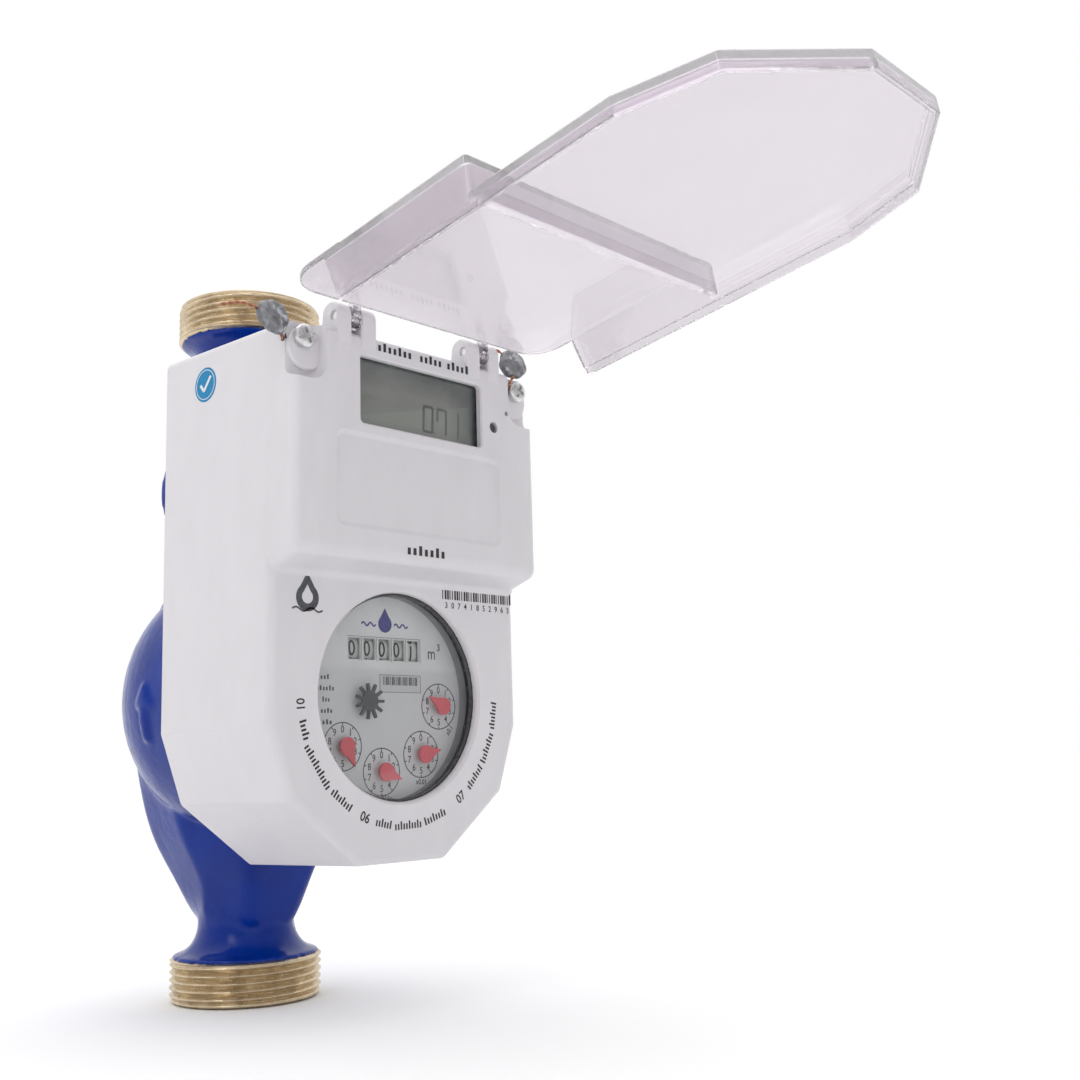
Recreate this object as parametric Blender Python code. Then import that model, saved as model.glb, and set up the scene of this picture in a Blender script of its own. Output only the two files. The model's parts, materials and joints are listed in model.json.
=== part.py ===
"""Prepaid water meter: a threaded brass body with a multi-jet metering chamber, a motor-driven ball
valve, a dry pointer-and-drum register, an electronics housing and a hinged clear lid.

Lengths are millimetres until they reach a mesh. X runs along the face, Y runs from the face to the
back and Z runs up the pipe. The origin is the centre of the lower threaded end face.
"""

import math

import bmesh
import bpy
from mathutils import Matrix, Vector

MM = 0.001

# ---- clearances ---------------------------------------------------------------------------
GAP = 0.3            # between pieces that touch or seat on each other
RUNNING = 0.35       # radial, round pins, arbors and shafts in their holes
SWING = 1.2          # round pieces that swing or turn past each other
PAST = 1.0           # how far a cutter runs past the face it opens

# ---- pipe line ----------------------------------------------------------------------------
BODY_LENGTH = 230.0
THREAD_RADIUS = 23.9
THREAD_LENGTH = 12.8
END_BORE = 16.0
NECK_RADIUS = 15.25
NECK_BORE = 12.0
FLARE_LENGTH = 9.0
NECK_END = 28.0      # height where the lower neck starts to widen into the inlet duct
STRAINER_LENGTH = 16.0

# ---- metering chamber ---------------------------------------------------------------------
AXIS_Z = 91.6        # common axis of chamber, register and dial
CHAMBER_RADIUS = 33.0
CHAMBER_BACK_Y = 2.0
GALLERY = 4.0        # water space round the chamber cup
CUP_RADIUS = CHAMBER_RADIUS - GALLERY
CUP_WALL = 2.0
CUP_FLOOR = 2.0
CUP_DEPTH = 24.0
JETS = 8
JET_LEAN = 40        # degrees
PORT_HALF = 13.0     # half width of the ports between the ducts and the chamber
CROSSING_HALF = 9.0  # half width of the passage from the outlet port to the riser
BLADES = 7
IMPELLER_RADIUS = CUP_RADIUS - CUP_WALL - 3.0
PIVOT_RADIUS = 0.8
MAGNET_RADIUS = 8.0
COVER_THICKNESS = 2.0
PLATE_THICKNESS = 2.0

# ---- bowl and locking ring ----------------------------------------------------------------
MOUTH_RADIUS = CHAMBER_RADIUS + 5.5
MOUTH_Y = -CUP_DEPTH - 10.0
RING_RADIUS = MOUTH_RADIUS + 3.5
RING_LIP = 2.3
GRIPS = 4
BOWL_Z = AXIS_Z + 2.4        # centre of the outside of the casting
BOWL_RADIUS = RING_RADIUS + 3.0
BOWL_CENTRE_Y = -10.0
BOWL_FRONT_Y = MOUTH_Y + 10.0

# ---- ball valve ---------------------------------------------------------------------------
VALVE_Z = AXIS_Z + CHAMBER_RADIUS + 41.4
BALL_RADIUS = 14.5
BALL_BORE = 10.0
BALL_SLOT = 2.0              # half width of the drive slot
SEAT_WALL = 3.0
VALVE_CHAMBER = BALL_RADIUS + 3.0
BOSS_RADIUS = VALVE_CHAMBER + 4.0
STEM_RADIUS = 4.0
VALVE_TEETH = 32
MOTOR_TEETH = 8
VALVE_MODULE = 1.0
MOTOR_SHAFT = 1.0
MOTOR_RADIUS = 6.5
MOTOR_LENGTH = 19.5
GEARBOX_HALF = 19.0
GEARBOX_DEPTH = 18.0         # from the back of the housing to the front of the gearbox
GEARBOX_WALL = 1.5

# ---- register -----------------------------------------------------------------------------
CASE_RADIUS = CHAMBER_RADIUS - 0.5
CASE_WALL = 1.6
CASE_FLOOR = 2.0
DIAL_Y = MOUTH_Y - 36.0
DIAL_THICKNESS = 0.8
DIAL_DEPTH = 3.0             # from the rim of the case down to the dial
LENS_THICKNESS = 1.3
REGISTER_SHAFT = 1.0
POINTER_CIRCLE = 21.3        # pitch circle of the four pointers
POINTER_CIRCLE_Z = AXIS_Z - 0.6
POINTER_ANGLES = (-140.0, -95.0, -50.0, -5.0)         # from +X, the fastest pointer first
POINTER_HEADINGS = (154.0, 112.0, 78.0, -63.0)        # clockwise from straight up, at rest
POINTER_HUB = 2.7
POINTER_TIP = 6.4
POINTER_THICKNESS = 0.8
SOCKET_RADIUS = 1.4          # sleeve under a pointer or the star
STAR_X = -7.9
STAR_Z = AXIS_Z - 1.3
STAR_RADIUS = 5.3
STAR_ROOT = 3.0
STAR_SPOKES = 11
ARBOR_RADIUS = 0.5
ARBOR_REACH = 1.5            # how far an arbor stands out of the dial, under its pointer
FINE_MODULE = 0.5
TRAIN_MODULE = 0.6
LAYER_PITCH = 3.5
LAYERS = tuple(DIAL_Y + 28.5 - i * LAYER_PITCH for i in range(7))
WHEEL_WIDTH = 1.6
PINION_WIDTH = 2.2
DRUMS = 5
DRUM_RADIUS = 8.4
DRUM_WIDTH = 4.9
DRUM_PITCH = 5.74
DRUM_Z = AXIS_Z + 14.2
DRUM_FIRST_X = 11.2          # the units drum, at the right
DRUM_SHAFT = 0.9
WINDOW_WIDTH = 4.5
WINDOW_HEIGHT = 6.2

# ---- housing ------------------------------------------------------------------------------
HOUSING_HALF = RING_RADIUS + 5.4     # half width at the front edge
DRAFT = 0.035                        # widening of the housing towards its back, per side
HOUSING_TOP = VALVE_Z + 28.8
HOUSING_BACK_Y = MOUTH_Y + 6.0
FACE_Y = DIAL_Y - 8.6
WALL = 2.2
EDGE_RADIUS = 2.5
CORNER_RADIUS = 2.0
CHIN = ((HOUSING_HALF, AXIS_Z - 8.4),                # corners of the eight-sided lower end
        (HOUSING_HALF - 7.0, AXIS_Z + 13.2 - RING_RADIUS),
        (HOUSING_HALF - 31.2, AXIS_Z - 5.6 - RING_RADIUS))
DIAL_OPENING = CASE_RADIUS - 2.0
PANEL_STEP = 11.0
PANEL_Y = FACE_Y - PANEL_STEP
PANEL_BOTTOM = AXIS_Z + DIAL_OPENING + 6.4
BASE_THICKNESS = 3.0
POST_RADIUS = 2.3
SCREW_X = HOUSING_HALF - WALL - POST_RADIUS - 0.6
SCREW_Z = HOUSING_TOP - WALL - POST_RADIUS - 0.3
SCREW_HEAD = 3.4
SCREW_LENGTH = 17.0
SCREW_SHANK = 1.2
SCREW_HOLE = SCREW_SHANK + GAP
CROSS_REACH = 2.3            # half length and half width of each slot in a screw's head
CROSS_HALF = 0.4
NOTCH_X = HOUSING_HALF - 10.9
NOTCH_Z = HOUSING_TOP - 16.8
NOTCH_DEPTH = 4.4
BOSS_HEIGHT = 1.4            # screw boss above the notch floor
LCD_HALF = 24.0
LCD_Z = (HOUSING_TOP - 26.6, HOUSING_TOP - 6.7)
LCD_MARGIN = 2.2
WINDOW_THICKNESS = 1.0
BOARD_THICKNESS = 1.6
BATTERY_RADIUS = 8.6
BATTERY_LENGTH = 50.0
BUTTON_X = LCD_HALF + 5.3
BUTTON_Z = HOUSING_TOP - 19.3
BUTTON_RADIUS = 1.45
BUTTON_DEPTH = 0.9           # the button's face lies this deep in its hole
BUTTON_FLANGE = 2.0
BUTTON_TRAVEL = 1.0
PINHOLE_X = NOTCH_X - 1.3
PINHOLE_Z = HOUSING_TOP - 13.8
PINHOLE_RADIUS = 0.75

# ---- hinge and lid ------------------------------------------------------------------------
HINGE_Y = PANEL_Y + 2.0
HINGE_Z = HOUSING_TOP + 3.7
PIN_RADIUS = 1.1
EYE_RADIUS = PIN_RADIUS + GAP + 1.5
TONGUE_CENTRE = 25.65
TONGUE_WIDTH = 2.9
EAR_OUTER = TONGUE_CENTRE + 6.75
EAR_INNER = TONGUE_CENTRE - 7.35
LID_OPEN = 99.5              # degrees from closed
LID_WALL = 1.8
LID_CLEARANCE = 1.5          # between the closed lid and the housing's side
LID_HALF = HOUSING_HALF + LID_CLEARANCE + LID_WALL
LID_START = 2.8              # distances down the closed lid from the hinge axis
LID_WALL_START = 21.0
LID_STEP = HINGE_Z - PANEL_BOTTOM + 3.5
LID_CHIN_OUT = ((LID_HALF - HOUSING_HALF, 3.6), (3.0, 7.4), (-1.6, 9.3))
LID_CHIN = tuple((x + out, HINGE_Z - z + down) for (x, z), (out, down) in zip(CHIN, LID_CHIN_OUT))
LID_FREE_EDGE = -10.7        # distances out from the hinge axis, towards the face
LID_LOW = -5.3
LID_HIGH = 5.0
LID_CORNER = 10.0

# ---- seals --------------------------------------------------------------------------------
SEAL_RADIUS = 5.0
SEAL_THICKNESS = 4.2
SEAL_BORE = 0.8
WIRE_RADIUS = 0.35
WIRE_HOLE = 1.2
WIRE_HOLE_Y = PANEL_Y + NOTCH_DEPTH + 1.0
WIRE_HOLE_Z = SCREW_Z - 0.8
ROUTE_STEPS = 3              # points in each stretch of a wire


# ==== helpers ==============================================================================

def clear_scene():
    for item in list(bpy.data.objects):
        bpy.data.objects.remove(item, do_unlink=True)


def finish_material(name, colour, roughness, metallic=0.0, transmission=0.0):
    made = bpy.data.materials.new(name)
    made.use_nodes = True
    shader = made.node_tree.nodes["Principled BSDF"]
    shader.inputs["Base Color"].default_value = (*colour, 1.0)
    shader.inputs["Roughness"].default_value = roughness
    shader.inputs["Metallic"].default_value = metallic
    shader.inputs["Transmission Weight"].default_value = transmission
    made.diffuse_color = (*colour, 1.0)
    return made


FINISHES = {
    "blue_enamel": ((0.01, 0.06, 0.42), 0.25, 0.0, 0.0),
    "brass": ((0.62, 0.45, 0.18), 0.3, 1.0, 0.0),
    "white_plastic": ((0.78, 0.76, 0.79), 0.4, 0.0, 0.0),
    "grey_plastic": ((0.35, 0.36, 0.38), 0.5, 0.0, 0.0),
    "dark_plastic": ((0.06, 0.06, 0.07), 0.5, 0.0, 0.0),
    "red_plastic": ((0.75, 0.08, 0.1), 0.4, 0.0, 0.0),
    "clear_plastic": ((0.9, 0.88, 0.92), 0.1, 0.0, 0.8),
    "glass": ((0.95, 0.97, 0.97), 0.05, 0.0, 0.9),
    "steel": ((0.6, 0.6, 0.62), 0.3, 1.0, 0.0),
    "copper": ((0.7, 0.35, 0.2), 0.35, 1.0, 0.0),
    "dial_print": ((0.62, 0.64, 0.65), 0.5, 0.0, 0.0),
    "board_green": ((0.02, 0.2, 0.08), 0.5, 0.0, 0.0),
    "lcd": ((0.25, 0.3, 0.27), 0.3, 0.0, 0.0),
}


def mesh_object(name, bm, centre=(0.0, 0.0, 0.0)):
    """Turn millimetre geometry in world place into an object with its origin at centre."""
    offset = Vector(centre)
    for vert in bm.verts:
        vert.co = (vert.co - offset) * MM
    mesh = bpy.data.meshes.new(name)
    bm.to_mesh(mesh)
    bm.free()
    made = bpy.data.objects.new(name, mesh)
    made.location = offset * MM
    bpy.context.scene.collection.objects.link(made)
    return made


def piece(name, bm, finish, centre=(0.0, 0.0, 0.0), smooth=True):
    made = mesh_object(name, bm, centre)
    made.data.materials.append(finish_material(name + "_finish", *FINISHES[finish]))
    if smooth:
        made.data.shade_smooth()
        made.data.set_sharp_from_angle(angle=math.radians(32))
    return made


def boolean(target, tool_bm, operation):
    """Add a live Boolean of tool_bm to target; the tool stays as a hidden wire guide."""
    tool = mesh_object(f"{target.name}_{operation.lower()}_{len(target.modifiers)}", tool_bm)
    tool.hide_render = True
    tool.display_type = "WIRE"
    step = target.modifiers.new(tool.name, "BOOLEAN")
    step.object = tool
    step.operation = operation
    step.solver = "EXACT"


def cut(target, *tools):
    for tool in tools:
        boolean(target, tool, "DIFFERENCE")


def fuse(target, *tools):
    for tool in tools:
        boolean(target, tool, "UNION")


def closed(bm):
    bmesh.ops.remove_doubles(bm, verts=bm.verts, dist=1e-4)
    bmesh.ops.recalc_face_normals(bm, faces=bm.faces)
    return bm


AXIS_TURN = {
    "Z": Matrix.Identity(4),
    "Y": Matrix.Rotation(-math.pi / 2, 4, "X"),
    "X": Matrix.Rotation(math.pi / 2, 4, "Y"),
}


def turned(profile, centre=(0.0, 0.0, 0.0), axis="Z", steps=32):
    """Spin a (radius, height) profile about an axis; a profile off the axis makes a ring."""
    bm = bmesh.new()
    verts = [bm.verts.new((radius, 0.0, height)) for radius, height in profile]
    ends = list(zip(verts, verts[1:]))
    if all(radius > 0 for radius, _ in profile):
        ends.append((verts[-1], verts[0]))
    edges = [bm.edges.new(pair) for pair in ends]
    bmesh.ops.spin(bm, geom=verts + edges, axis=(0, 0, 1), cent=(0, 0, 0),
                   steps=steps, angle=2 * math.pi, use_merge=True)
    bm.transform(Matrix.Translation(centre) @ AXIS_TURN[axis])
    return closed(bm)


def rod(radius, low, high, centre=(0.0, 0.0), axis="Y", steps=24):
    """A solid cylinder; centre is its place in the two other axes, in X, Y, Z order."""
    profile = [(0, low), (radius, low), (radius, high), (0, high)]
    return turned(profile, place(centre, axis), axis, steps)


def ring(inner, outer, low, high, centre=(0.0, 0.0), axis="Y", steps=32):
    profile = [(inner, low), (outer, low), (outer, high), (inner, high)]
    return turned(profile, place(centre, axis), axis, steps)


def place(centre, axis):
    a, b = centre
    return {"X": (0.0, a, b), "Y": (a, 0.0, b), "Z": (a, b, 0.0)}[axis]


def prism(outline, low, high, axis="Y", top=None):
    """Extrude an outline along an axis; top is the outline at the high end when it differs."""
    bm = bmesh.new()

    def ring_of(points, height):
        put = {"X": lambda a, b: (height, a, b), "Y": lambda a, b: (a, height, b),
               "Z": lambda a, b: (a, b, height)}[axis]
        return [bm.verts.new(put(a, b)) for a, b in points]

    lower = ring_of(outline, low)
    upper = ring_of(top or outline, high)
    bm.faces.new(lower)
    bm.faces.new(upper)
    count = len(lower)
    for i in range(count):
        j = (i + 1) % count
        bm.faces.new((lower[i], lower[j], upper[j], upper[i]))
    bmesh.ops.recalc_face_normals(bm, faces=bm.faces)
    return bm


def lofted(rings):
    """Skin closed rings of equal point count and cap both ends."""
    bm = bmesh.new()
    made = [[bm.verts.new(point) for point in points] for points in rings]
    for lower, upper in zip(made, made[1:]):
        count = len(lower)
        for i in range(count):
            j = (i + 1) % count
            bm.faces.new((lower[i], lower[j], upper[j], upper[i]))
    bm.faces.new(made[0])
    bm.faces.new(made[-1])
    bmesh.ops.recalc_face_normals(bm, faces=bm.faces)
    return bm


def box(x, y, z):
    corners = [(x[0], z[0]), (x[1], z[0]), (x[1], z[1]), (x[0], z[1])]
    return prism(corners, y[0], y[1])


def group(*parts):
    """Several separate closed shapes in one mesh, for one cutter."""
    bm = bmesh.new()
    for part in parts:
        mesh = bpy.data.meshes.new("part")
        part.to_mesh(mesh)
        part.free()
        bm.from_mesh(mesh)
        bpy.data.meshes.remove(mesh)
    return bm


def circle(radius, count, centre=(0.0, 0.0), start=0.0):
    turn = 2 * math.pi / count
    return [(centre[0] + radius * math.cos(start + i * turn),
             centre[1] + radius * math.sin(start + i * turn)) for i in range(count)]


def rounded(outline, radius, steps=3, only=None):
    """Round the corners of a convex-cornered outline; only picks corners by index."""
    made = []
    count = len(outline)
    for i, corner in enumerate(outline):
        if only is not None and i not in only:
            made.append(corner)
            continue
        here = Vector(corner)
        before = (Vector(outline[i - 1]) - here).normalized()
        after = (Vector(outline[(i + 1) % count]) - here).normalized()
        half = before.angle(after) / 2
        reach = radius / math.tan(half)
        middle = here + (before + after).normalized() * radius / math.sin(half)
        first = here + before * reach - middle
        last = here + after * reach - middle
        sweep = math.atan2(first.x * last.y - first.y * last.x, first.dot(last))
        for k in range(steps + 1):
            c, s = math.cos(sweep * k / steps), math.sin(sweep * k / steps)
            made.append((middle.x + first.x * c - first.y * s, middle.y + first.x * s + first.y * c))
    return made


def inset(outline, distance):
    """Move each side of a closed outline inwards by distance."""
    area = sum(a[0] * b[1] - b[0] * a[1] for a, b in zip(outline, outline[1:] + outline[:1]))
    turn = 1 if area > 0 else -1
    count = len(outline)
    made = []
    for i in range(count):
        here = Vector(outline[i])
        back = (here - Vector(outline[i - 1])).normalized()
        ahead = (Vector(outline[(i + 1) % count]) - here).normalized()
        n1 = Vector((-back.y, back.x)) * turn
        n2 = Vector((-ahead.y, ahead.x)) * turn
        made.append(tuple(here + (n1 + n2) * distance / (1 + n1.dot(n2))))
    return made


def gear_outline(teeth, module, phase=0.0):
    """Clock-type teeth: thin and flat-topped, with open roots that clear the mating leaf."""
    pitch = teeth * module / 2
    turn = 2 * math.pi / teeth
    made = []
    for i in range(teeth):
        middle = phase + i * turn
        for radius, share in ((pitch - 1.0 * module, -0.5), (pitch + 0.5 * module, -0.09),
                              (pitch + 0.5 * module, 0.09)):
            angle = middle + share * turn
            made.append((radius * math.cos(angle), radius * math.sin(angle)))
    return made


def gear(teeth, module, low, high, centre, phase=0.0):
    outline = [(centre[0] + x, centre[1] + z) for x, z in gear_outline(teeth, module, phase)]
    return prism(outline, low, high)


def tube(name, route, radius, finish, resolution=2):
    """A wire along a smooth curve through the route's points."""
    curve = bpy.data.curves.new(name, "CURVE")
    curve.dimensions = "3D"
    curve.bevel_depth = radius * MM
    curve.bevel_resolution = resolution
    curve.use_fill_caps = True
    points = smooth_route(route, ROUTE_STEPS)
    spline = curve.splines.new("POLY")
    spline.points.add(len(points) - 1)
    for made, point in zip(spline.points, points):
        made.co = (*(Vector(point) * MM), 1.0)
    made = bpy.data.objects.new(name, curve)
    bpy.context.scene.collection.objects.link(made)
    curve.materials.append(finish_material(name + "_finish", *FINISHES[finish]))
    return made


def smooth_route(route, steps):
    """Catmull-Rom points through the route."""
    points = [Vector(p) for p in route]
    padded = [2 * points[0] - points[1], *points, 2 * points[-1] - points[-2]]
    made = []
    for p0, p1, p2, p3 in zip(padded, padded[1:], padded[2:], padded[3:]):
        for k in range(steps):
            t = k / steps
            made.append(0.5 * (2 * p1 + (p2 - p0) * t + (2 * p0 - 5 * p1 + 4 * p2 - p3) * t * t
                               + (3 * p1 - p0 - 3 * p2 + p3) * t ** 3))
    made.append(points[-1])
    return made


# ==== body casting =========================================================================

def section(half, front, back, corner, height, corner_steps=3):
    """A level, round-cornered section of a duct, from front to back in Y."""
    outline = rounded([(half, front), (half, back), (-half, back), (-half, front)], corner, corner_steps)
    return [(x, y, height) for x, y in outline]


def make_meter_body():
    flare_top = THREAD_LENGTH + FLARE_LENGTH
    top = BODY_LENGTH
    flare = [(THREAD_RADIUS, 0), (THREAD_RADIUS, THREAD_LENGTH), (THREAD_RADIUS - 1.6, THREAD_LENGTH),
             (THREAD_RADIUS - 1.6, THREAD_LENGTH + 1.4), (NECK_RADIUS + 3.0, THREAD_LENGTH + 5.0),
             (NECK_RADIUS, flare_top)]
    lower_end, upper_end = AXIS_Z - 31.6, VALVE_Z - 16
    riser_radius = NECK_RADIUS + 4
    lower = turned([(0, 0), *flare, (NECK_RADIUS, NECK_END), (NECK_RADIUS, lower_end), (0, lower_end)],
                   steps=28)
    upper = turned([(0, upper_end), (riser_radius, upper_end), (riser_radius, VALVE_Z + 20),
                    (NECK_RADIUS, VALVE_Z + 32), *[(r, top - h) for r, h in reversed(flare)], (0, top)],
                   steps=28)
    arc = [math.radians(a) for a in range(0, 91, 15)]
    dome = [(BOWL_RADIUS * math.cos(a), BOWL_CENTRE_Y + BOWL_RADIUS * math.sin(a)) for a in arc]
    dome[-1] = (0, dome[-1][1])
    bowl = turned([(0, BOWL_FRONT_Y), (BOWL_RADIUS, BOWL_FRONT_Y), *dome],
                  (0, 0, BOWL_Z), "Y", 32)
    body = piece("meter_body", bowl, "blue_enamel")
    neck = NECK_RADIUS
    duct = lofted([
        section(neck - 0.6, -neck + 0.6, neck - 0.6, neck - 0.9, NECK_END - 4),
        section(neck + 3.0, -neck - 3.0, neck + 3.0, 11.0, NECK_END + 9),
        section(neck + 9.5, BOWL_FRONT_Y + 1, neck + 6.0, 12.0, AXIS_Z - 40.6),
        section(neck + 14.0, BOWL_FRONT_Y, neck + 7.0, 13.0, AXIS_Z - 25.6),
    ])
    riser = lofted([
        section(neck + 12.0, BOWL_FRONT_Y, neck + 5.0, 12.0, BOWL_Z + 24),
        section(neck + 6.5, -neck - 7.0, neck + 5.0, 10.0, BOWL_Z + 42),
        section(neck + 3.2, -neck - 3.2, neck + 3.2, 9.0, VALVE_Z),
    ])
    mouth = rod(MOUTH_RADIUS, MOUTH_Y, BOWL_FRONT_Y + 6, (0, AXIS_Z), steps=32)
    boss_front = HOUSING_BACK_Y - 1 + GAP
    boss = rod(BOSS_RADIUS, boss_front, BOSS_RADIUS, (0, VALVE_Z), steps=24)
    fuse(body, lower, duct, upper, riser, mouth, boss)

    gallery = turned([(0, MOUTH_Y - 1), (CHAMBER_RADIUS, MOUTH_Y - 1), (CHAMBER_RADIUS, CHAMBER_BACK_Y),
                      (CHAMBER_RADIUS - 8, CHAMBER_BACK_Y + 8), (0, CHAMBER_BACK_Y + 8)],
                     (0, 0, AXIS_Z), "Y", 28)
    inlet = turned([(0, -1), (END_BORE, -1), (END_BORE, THREAD_LENGTH - 3),
                    (NECK_BORE, THREAD_LENGTH + 2), (NECK_BORE, AXIS_Z - 41.6), (0, AXIS_Z - 41.6)],
                   steps=20)
    middle_y = -CUP_DEPTH / 2
    inlet_port = box((-PORT_HALF, PORT_HALF), (middle_y + 2, CHAMBER_BACK_Y - 1),
                     (AXIS_Z - 47.6, AXIS_Z - 25.6))
    outlet_port = box((-PORT_HALF, PORT_HALF), (-CUP_DEPTH + 1, middle_y - 2),
                      (AXIS_Z + 26.4, VALVE_Z - 24))
    crossing = box((-CROSSING_HALF, CROSSING_HALF), (-CUP_DEPTH + 2, 7),
                   (AXIS_Z + CHAMBER_RADIUS + 6.4, VALVE_Z - 24.5))
    riser_bore = rod(BALL_BORE, VALVE_Z - 32, VALVE_Z, axis="Z", centre=(0, 0))
    seat_reach = VALVE_CHAMBER + 2
    pockets = rod(BALL_BORE + SEAT_WALL + GAP, VALVE_Z - seat_reach, VALVE_Z + seat_reach, (0, 0), "Z")
    chamber = rod(VALVE_CHAMBER, boss_front - PAST, VALVE_CHAMBER, (0, VALVE_Z), steps=24)
    outlet = turned([(0, VALVE_Z), (BALL_BORE, VALVE_Z), (BALL_BORE, VALVE_Z + 30),
                     (NECK_BORE, VALVE_Z + 34),
                     (NECK_BORE, top - THREAD_LENGTH - 2), (END_BORE, top - THREAD_LENGTH + 3),
                     (END_BORE, top + 1), (0, top + 1)], steps=20)
    cut(body, gallery, inlet, inlet_port, outlet_port, crossing, riser_bore, outlet, pockets, chamber)


def make_strainer():
    outer = NECK_BORE - GAP
    low = THREAD_LENGTH + 4
    strainer = piece("inlet_strainer", turned(
        [(0, low), (outer - 1.6, low), (outer, low + 3), (outer, low + STRAINER_LENGTH),
         (outer - 1, low + STRAINER_LENGTH),
         (outer - 1, low + 3.4), (outer - 2, low + 1), (0, low + 1)], steps=20), "grey_plastic")
    holes = [rod(1.1, low - 1, low + 2, (0, 0), "Z", 6)]
    for count, radius in ((6, 3.8), (8, 7.6)):
        holes += [rod(1.1, low - 1, low + 2, spot, "Z", 6) for spot in circle(radius, count)]
    cut(strainer, group(*holes))


# ==== metering chamber =====================================================================

def make_chamber():
    seat = (0, AXIS_Z)
    centre = (0, 0, AXIS_Z)
    floor = -CUP_FLOOR
    rim = -CUP_DEPTH
    middle = rim / 2
    inner = CUP_RADIUS - CUP_WALL
    flange = CHAMBER_RADIUS - GAP - 0.1
    cup = piece("chamber_cup", turned(
        [(0, 0), (CUP_RADIUS, 0), (CUP_RADIUS, middle + 1), (flange, middle + 1), (flange, middle - 1),
         (CUP_RADIUS, middle - 1), (CUP_RADIUS, rim + 2), (flange, rim + 2), (flange, rim),
         (inner, rim), (inner, floor), (0, floor)], centre, "Y", 28), "grey_plastic")
    slots = []
    for row, lean in ((middle + 6.5, JET_LEAN), (middle - 5.5, -JET_LEAN)):
        for i in range(JETS):
            slot = box((CUP_RADIUS - 6, CUP_RADIUS + 6), (row - 2, row + 2), (-1.5, 1.5))
            about = Matrix.Translation((CUP_RADIUS - CUP_WALL / 2, 0, 0))
            tilt = about @ Matrix.Rotation(math.radians(lean), 4, "Y") @ about.inverted()
            turn = Matrix.Rotation(2 * math.pi * i / JETS, 4, "Y")
            slot.transform(Matrix.Translation((0, 0, AXIS_Z)) @ turn @ tilt)
            slots.append(slot)
    cut(cup, group(*slots))

    piece("impeller_pivot", rod(PIVOT_RADIUS, floor - 5, floor - GAP, seat, steps=12), "steel")
    hub_back = floor - 1
    hub_front = rim + 3.5
    impeller = piece("impeller", turned(
        [(0, hub_front), (4.5, hub_front), (4.5, hub_back), (PIVOT_RADIUS + RUNNING, hub_back),
         (PIVOT_RADIUS + RUNNING, floor - 5.5), (0, floor - 5.5)], centre, "Y", 24),
        "white_plastic", centre)
    cover_back = rim - GAP
    cover_front = cover_back - COVER_THICKNESS
    fuse(impeller, rod(MAGNET_RADIUS, cover_front, hub_front + 0.5, seat))
    for i in range(BLADES):
        blade = box((3.5, IMPELLER_RADIUS), (hub_front + 2, hub_back - 1.5), (-0.7, 0.7))
        turn = Matrix.Rotation(2 * math.pi * i / BLADES, 4, "Y")
        blade.transform(Matrix.Translation((0, 0, AXIS_Z)) @ turn)
        fuse(impeller, blade)
    piece("chamber_cover", ring(MAGNET_RADIUS + SWING, flange, cover_front, cover_back, seat, steps=28),
          "grey_plastic")

    plate_back = cover_front - GAP
    plate_front = plate_back - PLATE_THICKNESS
    seat_y = MOUTH_Y - GAP
    flange_radius = MOUTH_RADIUS - 0.2
    piece("pressure_plate", turned(
        [(0, plate_back), (flange, plate_back), (flange, seat_y), (flange_radius, seat_y),
         (flange_radius, seat_y - PLATE_THICKNESS), (flange - 3, seat_y - PLATE_THICKNESS),
         (flange - 3, plate_front), (0, plate_front)], centre, "Y", 28), "brass")
    lip_back = seat_y - PLATE_THICKNESS - GAP
    lip_front = lip_back - RING_LIP
    inner = MOUTH_RADIUS + GAP
    locking = piece("locking_ring", turned(
        [(inner, BOWL_FRONT_Y - 1.5), (RING_RADIUS, BOWL_FRONT_Y - 1.5), (RING_RADIUS, lip_front),
         (CASE_RADIUS + GAP + 0.2, lip_front), (CASE_RADIUS + GAP + 0.2, lip_back), (inner, lip_back)],
        centre, "Y", 28), "brass")
    grips = [rod(1.3, lip_front - PAST, lip_back + PAST, (x, AXIS_Z + z), steps=6)
             for x, z in circle((CASE_RADIUS + RING_RADIUS) / 2 + 0.3, GRIPS)]
    cut(locking, group(*grips))
    return plate_front, lip_back


# ==== register =============================================================================

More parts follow.
